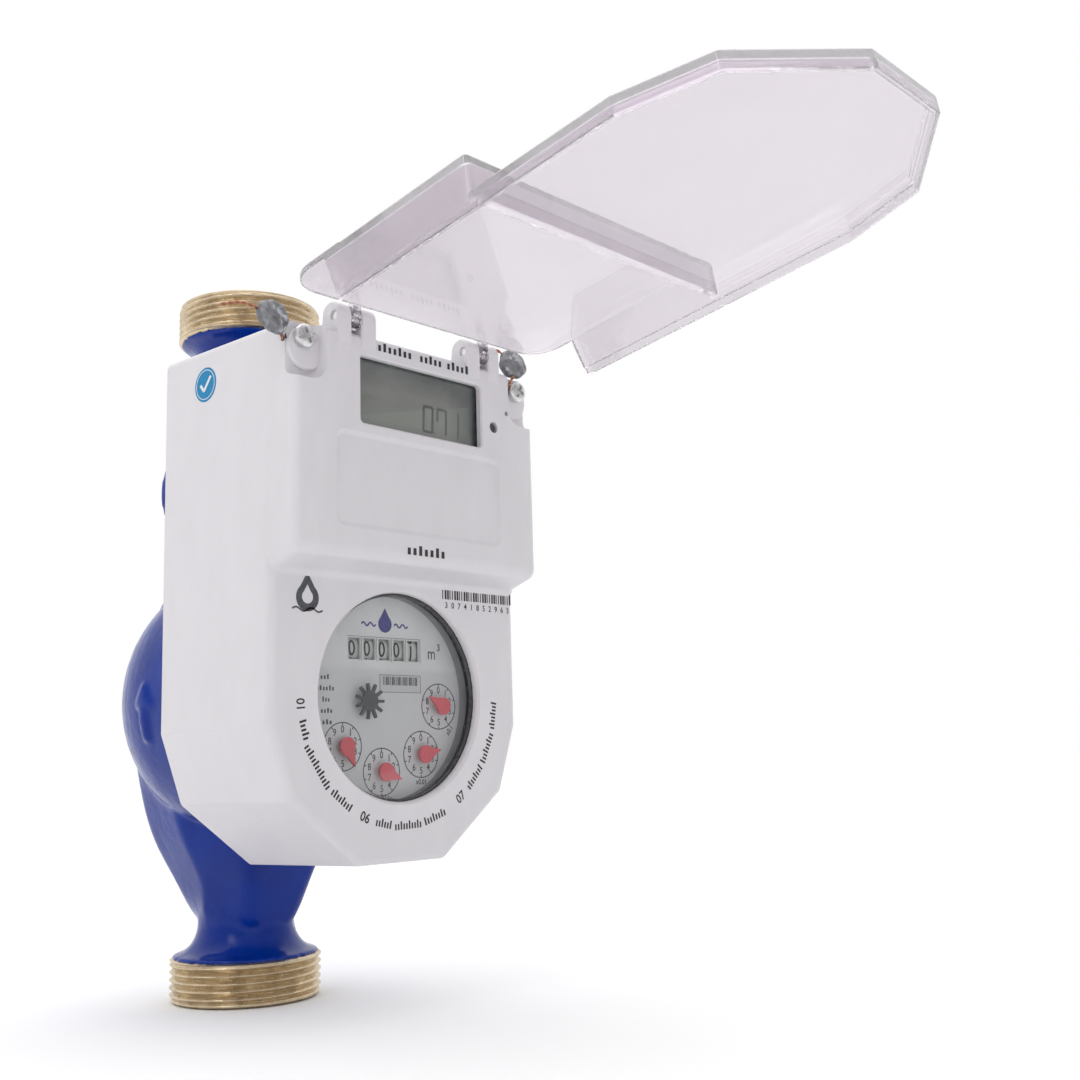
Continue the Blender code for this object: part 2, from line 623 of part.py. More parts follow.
def make_register(plate_front, case_back):
    axis = (0, AXIS_Z)
    inner = CASE_RADIUS - CASE_WALL
    floor = case_back - CASE_FLOOR
    case_front = DIAL_Y - DIAL_DEPTH
    case = piece("register_case", turned(
        [(0, case_back), (CASE_RADIUS, case_back), (CASE_RADIUS, case_front), (inner, case_front),
         (inner, floor), (0, floor)], (0, 0, AXIS_Z), "Y", 32), "dark_plastic")
    cut(case, rod(REGISTER_SHAFT + RUNNING, floor - PAST, case_back + PAST, axis, steps=12))

    lens_back = case_front - GAP
    lens_front = lens_back - LENS_THICKNESS
    piece("register_lens", rod(CASE_RADIUS - 0.1, lens_front, lens_back, axis, steps=32), "glass")
    lip_back = lens_front - GAP
    lip_front = FACE_Y + WALL + GAP
    skirt = CASE_RADIUS + GAP + 0.1
    piece("bezel_ring", turned(
        [(skirt, DIAL_Y + 6), (skirt + 1.3, DIAL_Y + 6), (skirt + 1.3, lip_front),
         (DIAL_OPENING - 0.8, lip_front), (DIAL_OPENING - 0.8, lip_back), (skirt, lip_back)],
        (0, 0, AXIS_Z), "Y", 32), "dark_plastic")

    layer = LAYERS
    magnet = piece("follower_magnet", rod(MAGNET_RADIUS, plate_front - 4, plate_front - 0.6, axis),
                   "dark_plastic", (0, 0, AXIS_Z))
    star = (STAR_X, STAR_Z)
    to_star = math.atan2(STAR_Z - AXIS_Z, STAR_X)
    fuse(magnet, rod(REGISTER_SHAFT, layer[0] - PINION_WIDTH / 2 - 1, plate_front - 2, axis, steps=12),
         gear(12, FINE_MODULE, layer[0] - PINION_WIDTH / 2, layer[0] + PINION_WIDTH / 2, axis, to_star))

    spots = [(POINTER_CIRCLE * math.cos(math.radians(a)),
              POINTER_CIRCLE_Z + POINTER_CIRCLE * math.sin(math.radians(a))) for a in POINTER_ANGLES]
    dial_holes = [star, *spots]
    star_top = DIAL_Y - ARBOR_REACH
    arbor("star_arbor", star, floor - GAP, star_top,
          (20, FINE_MODULE, layer[0], mesh_phase(to_star, 12, 20, to_star)),
          (8, FINE_MODULE, layer[5], 0.0))

    idler = meet(star, spots[0], 8.0, 7.0, 1)
    mesh = direction(star, idler)
    arbor("transfer_arbor_0", idler, floor - GAP, DIAL_Y + DIAL_THICKNESS + GAP,
          (24, FINE_MODULE, layer[5], mesh_phase(0.0, 8, 24, mesh)), (8, FINE_MODULE, layer[6], 0.0))
    pairs = ((1, 2), (3, 4), (1, 2))
    wheel = (20, FINE_MODULE, layer[6], mesh_phase(0.0, 8, 20, direction(idler, spots[0])))
    for i, spot in enumerate(spots):
        last = i == len(spots) - 1
        pinion = None if last else (6, TRAIN_MODULE, layer[pairs[i][0]], 0.0)
        arbor(f"pointer_arbor_{i + 1}", spot, floor - GAP, star_top, wheel, pinion)
        if last:
            break
        idler = meet(spot, spots[i + 1], 15 * TRAIN_MODULE, 14 * TRAIN_MODULE, 1)
        phase = mesh_phase(0.0, 6, 24, direction(spot, idler))
        arbor(f"transfer_arbor_{i + 1}", idler, floor - GAP, DIAL_Y + DIAL_THICKNESS + GAP,
              (24, TRAIN_MODULE, layer[pairs[i][0]], phase), (8, TRAIN_MODULE, layer[pairs[i][1]], 0.0))
        phase = mesh_phase(0.0, 8, 20, direction(idler, spots[i + 1]))
        wheel = (20, TRAIN_MODULE, layer[pairs[i][1]], phase)

    dial = piece("dial_plate", rod(inner - GAP, DIAL_Y, DIAL_Y + DIAL_THICKNESS, axis, steps=32),
                 "dial_print")
    front, back = DIAL_Y - 1, DIAL_Y + DIAL_THICKNESS + 1
    holes = [rod(ARBOR_RADIUS + RUNNING, front, back, spot, steps=10) for spot in dial_holes]
    holes += [box((x - WINDOW_WIDTH / 2, x + WINDOW_WIDTH / 2), (front, back),
                  (DRUM_Z - WINDOW_HEIGHT / 2, DRUM_Z + WINDOW_HEIGHT / 2)) for x in drum_places()]
    cut(dial, group(*holes))
    make_pointers(spots)
    make_star()
    make_drums(floor)


def direction(start, end):
    return math.atan2(end[1] - start[1], end[0] - start[0])


def meet(a, b, ra, rb, side):
    """The point at distance ra from a and rb from b, on the side nearer the dial's centre."""
    start, end = Vector(a), Vector(b)
    along = end - start
    span = along.length
    reach = (ra * ra - rb * rb + span * span) / (2 * span)
    height = math.sqrt(max(ra * ra - reach * reach, 0.0))
    unit = along / span
    across = Vector((-unit.y, unit.x)) * height * side
    return tuple(start + unit * reach + across)


def mesh_phase(driver_phase, driver_teeth, teeth, line):
    """Phase that puts a gap opposite the driver's tooth on the line between the two centres."""
    into = (line - driver_phase) * driver_teeth / (2 * math.pi)
    offset = into - math.floor(into)
    turn = 2 * math.pi / teeth
    return line + math.pi + (0.5 + offset) * turn


def arbor(name, spot, back, front, wheel, pinion):
    """An arbor with a wheel and, on all but the last, a pinion that drives the next one."""
    teeth, module, level, phase = wheel
    made = piece(name, gear(teeth, module, level - WHEEL_WIDTH / 2, level + WHEEL_WIDTH / 2,
                            spot, phase), "white_plastic", (spot[0], 0, spot[1]), smooth=False)
    if pinion:
        teeth, module, level, phase = pinion
        fuse(made, gear(teeth, module, level - PINION_WIDTH / 2, level + PINION_WIDTH / 2,
                        spot, phase))
    fuse(made, rod(ARBOR_RADIUS, front, back, spot, steps=8))


def make_pointers(spots):
    """Teardrop pointers, one on each pointer arbor's front end."""
    low = DIAL_Y - ARBOR_REACH - GAP - POINTER_THICKNESS
    for i, (spot, heading) in enumerate(zip(spots, POINTER_HEADINGS)):
        hub = circle(POINTER_HUB, 20)
        spread = math.radians(35)
        drop = [p for p in hub if math.atan2(p[1], p[0]) < math.pi / 2 - spread
                or math.atan2(p[1], p[0]) > math.pi / 2 + spread]
        drop.sort(key=lambda p: (math.atan2(p[1], p[0]) - math.pi / 2) % (2 * math.pi))
        drop.append((0.0, POINTER_TIP))
        turn = -math.radians(heading)
        outline = [(spot[0] + x * math.cos(turn) - z * math.sin(turn),
                    spot[1] + x * math.sin(turn) + z * math.cos(turn)) for x, z in drop]
        pointer = piece(f"pointer_{i + 1}", prism(outline, low, low + POINTER_THICKNESS), "red_plastic",
                        (spot[0], 0, spot[1]))
        fuse(pointer, ring(ARBOR_RADIUS + GAP, SOCKET_RADIUS, low + POINTER_THICKNESS / 2,
                           DIAL_Y - 0.4, spot, steps=12))


def make_star():
    """Spoked leak indicator on the star arbor."""
    turn = 2 * math.pi / STAR_SPOKES
    outline = []
    for i in range(STAR_SPOKES):
        for radius, share in ((STAR_ROOT, -0.24), (STAR_RADIUS, -0.13), (STAR_RADIUS, 0.13),
                              (STAR_ROOT, 0.24)):
            angle = (i + share) * turn
            outline.append((STAR_X + radius * math.cos(angle), STAR_Z + radius * math.sin(angle)))
    low = DIAL_Y - ARBOR_REACH - GAP - POINTER_THICKNESS
    star = piece("leak_star", prism(outline, low, low + POINTER_THICKNESS), "dark_plastic",
                 (STAR_X, 0, STAR_Z))
    fuse(star, ring(ARBOR_RADIUS + GAP, SOCKET_RADIUS, low + POINTER_THICKNESS / 2,
                    DIAL_Y - 0.4, (STAR_X, STAR_Z), steps=12))


def drum_places():
    return [DRUM_FIRST_X - i * DRUM_PITCH for i in range(DRUMS)]


def make_drums(case_floor):
    axis_y = DIAL_Y + DIAL_THICKNESS + 0.4 + DRUM_RADIUS
    for i, x in enumerate(drum_places()):
        half = DRUM_WIDTH / 2
        piece(f"drum_{i + 1}", turned(
            [(DRUM_SHAFT + RUNNING, -half), (DRUM_RADIUS, -half), (DRUM_RADIUS, half),
             (DRUM_SHAFT + RUNNING, half)], (x, axis_y, DRUM_Z), "X", 24), "white_plastic",
            (x, axis_y, DRUM_Z))
    cheek = DRUM_PITCH * (DRUMS - 1) / 2 + DRUM_WIDTH / 2 + 3.67
    piece("drum_shaft", rod(DRUM_SHAFT, -cheek - 2, cheek + 2, (axis_y, DRUM_Z), "X", 12), "steel")
    back = axis_y + DRUM_RADIUS + SWING
    low, high = DRUM_Z - 7.0, DRUM_Z + 7.0
    front = DIAL_Y + DIAL_THICKNESS + GAP
    sides = [(-cheek - 1.2, front), (-cheek, front), (-cheek, back), (cheek, back), (cheek, front),
             (cheek + 1.2, front), (cheek + 1.2, back + 1.2), (-cheek - 1.2, back + 1.2)]
    frame = piece("drum_frame", prism(sides, low, high, "Z"), "grey_plastic", smooth=False)
    cut(frame, rod(DRUM_SHAFT + RUNNING, -cheek - 5, cheek + 5, (axis_y, DRUM_Z), "X", 12))
    fuse(frame, rod(2.0, back + 1, case_floor - GAP, (0, DRUM_Z), steps=12))


# ==== housing ==============================================================================

def housing_outline(y, corner=0.0):
    """Outline at depth y, widening towards the back; corner rounds every corner."""
    spread = DRAFT * (y - FACE_Y)
    chin = [(x + spread, z - spread * 0.4) for x, z in CHIN]
    half = HOUSING_HALF + spread
    right = [(half, HOUSING_TOP), *chin]
    outline = [*right, *[(-x, z) for x, z in reversed(right)]]
    return rounded(outline, corner, 2) if corner else outline


def make_cover():
    corner = CORNER_RADIUS
    soft = EDGE_RADIUS
    rings = []
    for y, back_in in ((HOUSING_BACK_Y, 0.0), (FACE_Y + soft, 0.0), (FACE_Y + soft * 0.3, soft * 0.3),
                       (FACE_Y, soft)):
        outline = housing_outline(y, corner + back_in * 0.5)
        rings.append([(x, y, z) for x, z in (inset(outline, back_in) if back_in else outline)])
    cover = piece("front_cover", lofted(rings), "white_plastic")

    rings = []
    half = HOUSING_HALF
    panel = [(half, HOUSING_TOP - 0.4), (half, PANEL_BOTTOM - 2), (-half, PANEL_BOTTOM - 2),
             (-half, HOUSING_TOP - 0.4)]
    for y, back_in, lift in ((FACE_Y + 4, 0.0, 0.0), (FACE_Y - 5, 0.0, 1.5), (PANEL_Y + soft, 0.0, 3.5),
                             (PANEL_Y + soft * 0.3, soft * 0.3, 4.2), (PANEL_Y, soft, 4.5)):
        outline = rounded(panel, corner + 0.5 + back_in * 0.5, 2)
        if back_in:
            outline = inset(outline, back_in)
        level = PANEL_BOTTOM + 10
        rings.append([(x, y, z + lift * max(0.0, (level - z) / 12) if z < level else z)
                      for x, z in outline])
    fuse(cover, lofted(rings))
    notch_floor = PANEL_Y + NOTCH_DEPTH
    notches = []
    for side in (-1, 1):
        x = sorted((side * NOTCH_X, side * (HOUSING_HALF + 10)))
        notches.append(box(x, (PANEL_Y - 1, notch_floor), (NOTCH_Z, HOUSING_TOP + 10)))
    cut(cover, group(*notches))
    for side in (-1, 1):
        fuse(cover, rod(SCREW_HEAD + 2.9, notch_floor - BOSS_HEIGHT, notch_floor + 1.5,
                        (side * (SCREW_X - 1.3), SCREW_Z - 3.0), steps=24))
        fuse(cover, *ears(side))

    hollow = []
    for y in (HOUSING_BACK_Y + 1, FACE_Y + WALL):
        outline = inset(housing_outline(y), WALL)
        hollow.append([(x, y, z) for x, z in outline])
    inside = HOUSING_HALF - WALL
    upper = box((-inside, inside), (PANEL_Y + WALL, FACE_Y + WALL + 1),
                (PANEL_BOTTOM + 2 * WALL, NOTCH_Z - WALL))
    upper_mid = box((-NOTCH_X + WALL, NOTCH_X - WALL), (PANEL_Y + WALL, FACE_Y + WALL + 1.5),
                    (PANEL_BOTTOM + 3 * WALL, HOUSING_TOP - WALL))
    corners = box((-inside, inside), (notch_floor + WALL, FACE_Y + WALL + 2),
                  (NOTCH_Z - 2 * WALL, HOUSING_TOP - WALL))
    cut(cover, lofted(hollow), upper, upper_mid, corners)

    cut(cover, rod(DIAL_OPENING, FACE_Y - 1, FACE_Y + WALL + 1, (0, AXIS_Z), steps=36))
    lcd = rounded([(-LCD_HALF, LCD_Z[0]), (LCD_HALF, LCD_Z[0]), (LCD_HALF, LCD_Z[1]),
                   (-LCD_HALF, LCD_Z[1])], 1.0, 2)
    cut(cover, prism(lcd, PANEL_Y - 1, PANEL_Y + WALL + 1))
    small = [rod(BUTTON_RADIUS + GAP, PANEL_Y - 1, PANEL_Y + WALL + 1, (BUTTON_X, BUTTON_Z), steps=16),
             rod(PINHOLE_RADIUS, PANEL_Y - 1, PANEL_Y + WALL + 1, (PINHOLE_X, PINHOLE_Z), steps=12)]
    for side in (-1, 1):
        small.append(rod(SCREW_HOLE, PANEL_Y - 1, notch_floor + WALL + 1, (side * SCREW_X, SCREW_Z),
                         steps=16))
    cut(cover, group(*small))
    for side in (-1, 1):
        cut(cover, rod(WIRE_HOLE, *sorted((side * (SCREW_X + 3.2), side * (HOUSING_HALF + 4))),
                       (WIRE_HOLE_Y, WIRE_HOLE_Z), "X", 10))


def ears(side):
    """Two hinge ears with a slot between them for the lid's tongue."""
    slot = TONGUE_WIDTH / 2 + GAP
    back, front = HINGE_Y + 5.4, HINGE_Y - 2.3
    base = HOUSING_TOP - 4
    outline = [(front, base), (front, HINGE_Z + 0.5), *[
        (HINGE_Y + 1.5 - 3.8 * math.cos(a), HINGE_Z + 0.5 + 4.0 * math.sin(a))
        for a in (math.radians(d) for d in (30, 60, 90, 120, 150))],
        (back, HINGE_Z + 0.5), (back + 1.2, base)]
    spans = ((EAR_INNER, TONGUE_CENTRE - slot), (TONGUE_CENTRE + slot, EAR_OUTER))
    made = []
    for near, far in spans:
        low, high = sorted((side * near, side * far))
        made.append(prism(outline, low, high, "X"))
    return made


def bore_ears(cover):
    for side in (-1, 1):
        low, high = sorted((side * (EAR_INNER - 1), side * (EAR_OUTER + 1)))
        cut(cover, rod(PIN_RADIUS + GAP, low, high, (HINGE_Y, HINGE_Z), "X", 14))


def make_base():
    front = HOUSING_BACK_Y - 1 - BASE_THICKNESS
    back = HOUSING_BACK_Y - 1
    outline = inset(housing_outline(front), WALL + GAP)
    base = piece("rear_housing", prism(outline, front, back), "white_plastic", smooth=False)
    post_front = PANEL_Y + NOTCH_DEPTH + WALL + GAP
    for side in (-1, 1):
        spot = (side * SCREW_X, SCREW_Z)
        fuse(base, rod(POST_RADIUS, post_front, front + 1, spot, steps=14))
    cut(base, rod(RING_RADIUS + GAP + 0.1, front - 1, back + 1, (0, AXIS_Z), steps=32))
    holes = [rod(STEM_RADIUS + SWING, front - 1, back + 1, (0, VALVE_Z), steps=20)]
    for side in (-1, 1):
        holes.append(rod(SCREW_HOLE, post_front - 1, post_front + SCREW_LENGTH,
                         (side * SCREW_X, SCREW_Z), steps=12))
    cut(base, group(*holes))


def make_electronics():
    panel_inner = PANEL_Y + WALL
    window_back = panel_inner + GAP + WINDOW_THICKNESS
    z_low, z_high = LCD_Z[0] - LCD_MARGIN, LCD_Z[1] + 1.6
    half = LCD_HALF + LCD_MARGIN
    piece("lcd_window", box((-half, half), (panel_inner + GAP, window_back), (z_low, z_high)),
          "glass", smooth=False)
    board_front = FACE_Y - 1.2
    board_back = board_front + BOARD_THICKNESS
    piece("lcd_module", box((-half, half), (window_back + GAP, board_front - GAP), (z_low, z_high)),
          "lcd", smooth=False)
    board_half = SCREW_X - 4.5
    piece("circuit_board", box((-board_half, board_half), (board_front, board_back),
                               (PANEL_BOTTOM + 6, SCREW_Z - 0.5)), "board_green", smooth=False)
    battery_right = BATTERY_LENGTH / 2 - 11
    piece("battery_cell", rod(BATTERY_RADIUS, battery_right - BATTERY_LENGTH, battery_right,
                              (FACE_Y + 14.6, VALVE_Z - 18), "X", 28), "grey_plastic")
    piece("reed_sensor", box((CASE_RADIUS + GAP + 0.4, CASE_RADIUS + 4.2), (DIAL_Y + 10, DIAL_Y + 22),
                             (AXIS_Z - 5, AXIS_Z + 5)), "dark_plastic", smooth=False)
    face = PANEL_Y + BUTTON_DEPTH
    flange = panel_inner + GAP + 0.2
    travel_back = board_front - GAP - BUTTON_TRAVEL
    piece("display_button", turned(
        [(0, face), (BUTTON_RADIUS, face), (BUTTON_RADIUS, flange), (BUTTON_FLANGE, flange),
         (BUTTON_FLANGE, flange + 1), (1.0, flange + 1), (1.0, travel_back), (0, travel_back)],
        (BUTTON_X, 0, BUTTON_Z), "Y", 16), "dark_plastic", (BUTTON_X, 0, BUTTON_Z))


def make_screws_and_pins():
    seat = PANEL_Y + NOTCH_DEPTH - BOSS_HEIGHT
    for side, name in ((-1, "left"), (1, "right")):
        centre = (side * SCREW_X, 0, SCREW_Z)
        screw = piece(f"housing_screw_{name}", turned(
            [(0, seat - 2.3), (SCREW_HEAD - 0.6, seat - 2.3), (SCREW_HEAD, seat - 1.5),
             (SCREW_HEAD, seat - GAP), (SCREW_SHANK, seat - GAP), (SCREW_SHANK, seat + SCREW_LENGTH),
             (0, seat + SCREW_LENGTH)], centre, "Y", 20), "steel")
        for across, up in ((CROSS_REACH, CROSS_HALF), (CROSS_HALF, CROSS_REACH)):
            cut(screw, box((side * SCREW_X - across, side * SCREW_X + across), (seat - 3, seat - 1.3),
                           (SCREW_Z - up, SCREW_Z + up)))
        low, high = sorted((side * (EAR_INNER + 0.6), side * (EAR_OUTER - 0.6)))
        piece(f"hinge_pin_{name}", rod(PIN_RADIUS, low, high, (HINGE_Y, HINGE_Z), "X", 14), "steel")


# ==== lid ==================================================================================

def lid_outline(start, margin=0.0):
    """Lower outline of the closed lid as (x, distance down from the hinge), inset by margin."""
    right = [(LID_HALF, start), *LID_CHIN]
    outline = [*right, *[(-x, u) for x, u in reversed(right)]]
    return inset(outline, margin) if margin else outline


def lid_prism(outline, low, high):
    """Extrude a lid outline: u runs down from the hinge and the height runs out from the face."""
    return prism([(x, HINGE_Z - u) for x, u in outline], HINGE_Y - high, HINGE_Y - low)


def make_lid():
    overlap = 8.0
    centre = (0, HINGE_Y, HINGE_Z)
    lid = piece("clear_lid", lid_prism(lid_outline(LID_STEP - overlap), LID_FREE_EDGE, LID_LOW),
                "clear_plastic", centre)
    half = LID_HALF
    end = LID_STEP + LID_WALL
    upper = [(half, LID_WALL_START), (half, end), (-half, end), (-half, LID_WALL_START)]
    plate = rounded([(half, LID_START), (half, LID_WALL_START + overlap),
                     (-half, LID_WALL_START + overlap), (-half, LID_START)], LID_CORNER, 4, (0, 3))
    fuse(lid, turn_back(lid_prism(upper, LID_FREE_EDGE, LID_HIGH)),
         turn_back(lid_prism(plate, LID_HIGH - LID_WALL, LID_HIGH)))
    inner = half - LID_WALL
    under = [(inner, LID_STEP), (inner, LID_WALL_START - overlap), (-inner, LID_WALL_START - overlap),
             (-inner, LID_STEP)]
    low_floor = LID_LOW - LID_WALL
    cut(lid, turn_back(lid_prism(under, LID_FREE_EDGE - 1, LID_HIGH - LID_WALL)),
        turn_back(lid_prism(lid_outline(LID_STEP - overlap / 2 + LID_WALL, LID_WALL),
                            LID_FREE_EDGE - 1, low_floor)))
    for side in (-1, 1):
        low = side * TONGUE_CENTRE - TONGUE_WIDTH / 2
        high = low + TONGUE_WIDTH
        fuse(lid, turn_back(tongue(low, high)))
        cut(lid, turn_back(rod(PIN_RADIUS + GAP, low - 1, high + 1, (HINGE_Y, HINGE_Z), "X", 14)))
    lid.rotation_euler.x = -math.radians(LID_OPEN)
    return lid


def tongue(low, high):
    """A strap from the lid's plate down to an eye round the hinge pin."""
    eye = [(HINGE_Y + EYE_RADIUS * math.cos(a), HINGE_Z + EYE_RADIUS * math.sin(a))
           for a in (math.radians(d) for d in range(-60, 181, 30))]
    outline = [*eye, (HINGE_Y - LID_HIGH + 0.5, HINGE_Z - 1.5),
               (HINGE_Y - LID_HIGH + 0.5, HINGE_Z - LID_START - 4),
               (HINGE_Y - LID_HIGH + LID_WALL, HINGE_Z - LID_START - 4),
               (HINGE_Y - LID_HIGH + LID_WALL, HINGE_Z - EYE_RADIUS)]
    return prism(outline, low, high, "X")


def turn_back(bm):
    """Carry lid geometry from the closed place to the open rest place."""
    about = Matrix.Translation((0, HINGE_Y, HINGE_Z))
    bm.transform(about @ Matrix.Rotation(-math.radians(LID_OPEN), 4, "X") @ about.inverted())
    return bm


# ==== valve ================================================================================

def make_valve():
    axis = (0, VALVE_Z)
    centre = (0, 0, VALVE_Z)
    arc = [math.radians(a) for a in range(-90, 91, 18)]
    ball = piece("valve_ball", turned(
        [(0.0 if abs(a) > 1.57 else BALL_RADIUS * math.cos(a), BALL_RADIUS * math.sin(a)) for a in arc],
        centre, "Z", 24), "steel", centre)
    cut(ball, rod(BALL_BORE, VALVE_Z - BALL_RADIUS - 2, VALVE_Z + BALL_RADIUS + 2, (0, 0), "Z", 20),
        box((-BALL_SLOT, BALL_SLOT), (-BALL_RADIUS - 1, -BALL_RADIUS + 3.2),
            (VALVE_Z - 9, VALVE_Z + 9)))
    bonnet_back = -BALL_RADIUS - 2.5
    boss_front = HOUSING_BACK_Y - 1 + GAP
    stem_front = HOUSING_BACK_Y - 14
    stem = piece("valve_stem", rod(STEM_RADIUS, stem_front, bonnet_back + 1.6, axis), "steel", centre)
    tang = BALL_SLOT - GAP
    fuse(stem, box((-tang, tang), (bonnet_back, -BALL_RADIUS + 2.8), (VALVE_Z - 3.4, VALVE_Z + 3.4)))
    piece("valve_bonnet", ring(STEM_RADIUS + RUNNING, VALVE_CHAMBER - GAP, boss_front + 0.4,
                               bonnet_back, axis, steps=24), "brass")
    seat_outer = BALL_BORE + SEAT_WALL
    touch = math.sqrt(BALL_RADIUS ** 2 - (BALL_BORE + 0.5) ** 2)
    for side, name in ((-1, "lower"), (1, "upper")):
        near = VALVE_Z + side * (touch + 1.0)
        far = VALVE_Z + side * (VALVE_CHAMBER + 2 - GAP)
        low, high = sorted((near, far))
        piece(f"valve_seat_{name}", ring(BALL_BORE + 0.5, seat_outer, low, high, (0, 0), "Z", 24),
              "white_plastic")
    gear_back, gear_front = HOUSING_BACK_Y - 8.5, HOUSING_BACK_Y - 12.0
    wheel = piece("valve_gear", gear(VALVE_TEETH, VALVE_MODULE, gear_front, gear_back, axis),
                  "white_plastic", centre, smooth=False)
    cut(wheel, rod(STEM_RADIUS + GAP, gear_front - 1, gear_back + 1, axis, steps=20))
    motor_x = (VALVE_TEETH + MOTOR_TEETH) * VALVE_MODULE / 2
    spot = (motor_x, VALVE_Z)
    case_front, case_wall = HOUSING_BACK_Y - GEARBOX_DEPTH, GEARBOX_WALL
    shaft_front = case_front + 0.1
    pinion = piece("motor_pinion", gear(MOTOR_TEETH, VALVE_MODULE, gear_front - 0.4, gear_back + 0.4,
                                        spot, math.pi / MOTOR_TEETH + math.pi), "brass",
                   (motor_x, 0, VALVE_Z), smooth=False)
    fuse(pinion, rod(MOTOR_SHAFT, shaft_front, gear_back + 1.5, spot, steps=12))
    left, right = -GEARBOX_HALF - 0.5, motor_x + MOTOR_RADIUS + 2
    low, high = VALVE_Z - GEARBOX_HALF, VALVE_Z + GEARBOX_HALF
    case_back = HOUSING_BACK_Y - 1 - BASE_THICKNESS - GAP
    case = piece("gearbox_case", box((left, right), (case_front, case_back), (low, high)),
                 "grey_plastic", smooth=False)
    cut(case, box((left + case_wall, right - case_wall), (case_front + case_wall, case_back + 1),
                  (low + case_wall, high - case_wall)),
        rod(MOTOR_SHAFT + RUNNING, case_front - 1, case_front + case_wall + 1, spot, steps=12))
    motor_back = case_front - GAP
    piece("valve_motor", rod(MOTOR_RADIUS, motor_back - MOTOR_LENGTH, motor_back, spot), "steel")


# ==== seals ================================================================================

SEALS = {            # routes as offsets from the housing's wire hole; the seal sits on point "at"
    "left": {
        "side": -1,
        "tilt": 25,
        "at": 3,
        "route": [(-19.1, 2.2, 5.6), (-14.6, -0.6, 6.6), (-10.9, -2.2, 5.8), (-5.1, -2.4, 4.4),
                  (-2.2, -1.8, 2.0), (-0.8, -0.7, 0.0), (1.2, 0.0, -0.6)],
    },
    "right": {
        "side": 1,
        "tilt": -20,
        "at": 2,
        "route": [(-12.8, 0.7, 15.0), (-10.4, -1.4, 13.6), (-5.9, -2.6, 10.0), (-0.8, -3.2, 7.4),
                  (1.8, -2.2, 3.4), (1.2, -0.6, 0.2), (-1.2, 0.0, -0.6)],
    },
}


def make_seals():
    for name, seal in SEALS.items():
        anchor = Vector((seal["side"] * HOUSING_HALF, WIRE_HOLE_Y, WIRE_HOLE_Z))
        route = [anchor + Vector(offset) for offset in seal["route"]]
        half = SEAL_THICKNESS / 2
        lump = turned([(0, -half), (SEAL_RADIUS - 1.5, -half), (SEAL_RADIUS, -half * 0.3),
                       (SEAL_RADIUS, half * 0.3), (SEAL_RADIUS - 1.5, half), (0, half)], steps=20)
        place_by = Matrix.Translation(route[seal["at"]]) @ Matrix.Rotation(math.radians(seal["tilt"]), 4, "Y")
        lump.transform(place_by @ Matrix.Rotation(math.radians(75), 4, "X"))
        made = piece(f"lead_seal_{name}", lump, "grey_plastic")
        bore_route(made, smooth_route(route, ROUTE_STEPS), ROUTE_STEPS * seal["at"])
        tube(f"seal_wire_{name}", route, WIRE_RADIUS, "copper")


def bore_route(seal, points, at):
    """Bore the seal along the wire's own curve, so that the wire passes through with a gap."""
    reach = 4
    stretch = points[max(at - reach, 0):at + reach + 1]
    rings = []
    for i, point in enumerate(stretch):
        ahead = stretch[min(i + 1, len(stretch) - 1)] - stretch[max(i - 1, 0)]
        frame = ahead.to_track_quat("Z", "Y")
        rings.append([tuple(point + frame @ Vector((x, y, 0))) for x, y in circle(SEAL_BORE, 8)])
    cut(seal, lofted(rings))


def main():
    clear_scene()
    make_meter_body()
    make_strainer()
    plate_front, case_back = make_chamber()
    make_register(plate_front, case_back)
    make_cover()
    bore_ears(bpy.data.objects["front_cover"])
    make_base()
    make_electronics()
    make_screws_and_pins()
    make_lid()
    make_valve()
    make_seals()


main()
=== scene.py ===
"""Looks of the prepaid water meter: smooth castings and mouldings, threads, print, glass, metal and light.

Lengths are millimetres until they reach a mesh. X runs along the face, Y from the face to the back
and Z up the pipe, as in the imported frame.
"""

import json
import math

import bmesh
import bpy
from mathutils import Matrix, Vector


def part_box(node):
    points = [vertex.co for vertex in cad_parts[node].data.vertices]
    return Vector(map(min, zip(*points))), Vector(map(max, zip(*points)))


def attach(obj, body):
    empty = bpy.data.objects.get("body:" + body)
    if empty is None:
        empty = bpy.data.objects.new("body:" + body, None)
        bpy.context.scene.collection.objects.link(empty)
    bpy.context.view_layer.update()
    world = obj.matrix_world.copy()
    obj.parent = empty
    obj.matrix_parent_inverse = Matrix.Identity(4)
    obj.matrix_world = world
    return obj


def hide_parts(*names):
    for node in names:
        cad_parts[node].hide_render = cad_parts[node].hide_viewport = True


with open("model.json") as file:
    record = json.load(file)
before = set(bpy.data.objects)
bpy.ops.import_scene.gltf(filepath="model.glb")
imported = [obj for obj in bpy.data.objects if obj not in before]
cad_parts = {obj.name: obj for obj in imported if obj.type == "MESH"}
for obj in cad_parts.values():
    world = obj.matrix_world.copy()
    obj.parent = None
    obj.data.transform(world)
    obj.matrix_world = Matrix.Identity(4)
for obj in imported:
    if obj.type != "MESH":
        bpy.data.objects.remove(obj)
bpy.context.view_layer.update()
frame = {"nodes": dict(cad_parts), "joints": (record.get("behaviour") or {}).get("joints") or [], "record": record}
JOINTS = {joint["name"]: joint for joint in frame["joints"]}

MM = 0.001

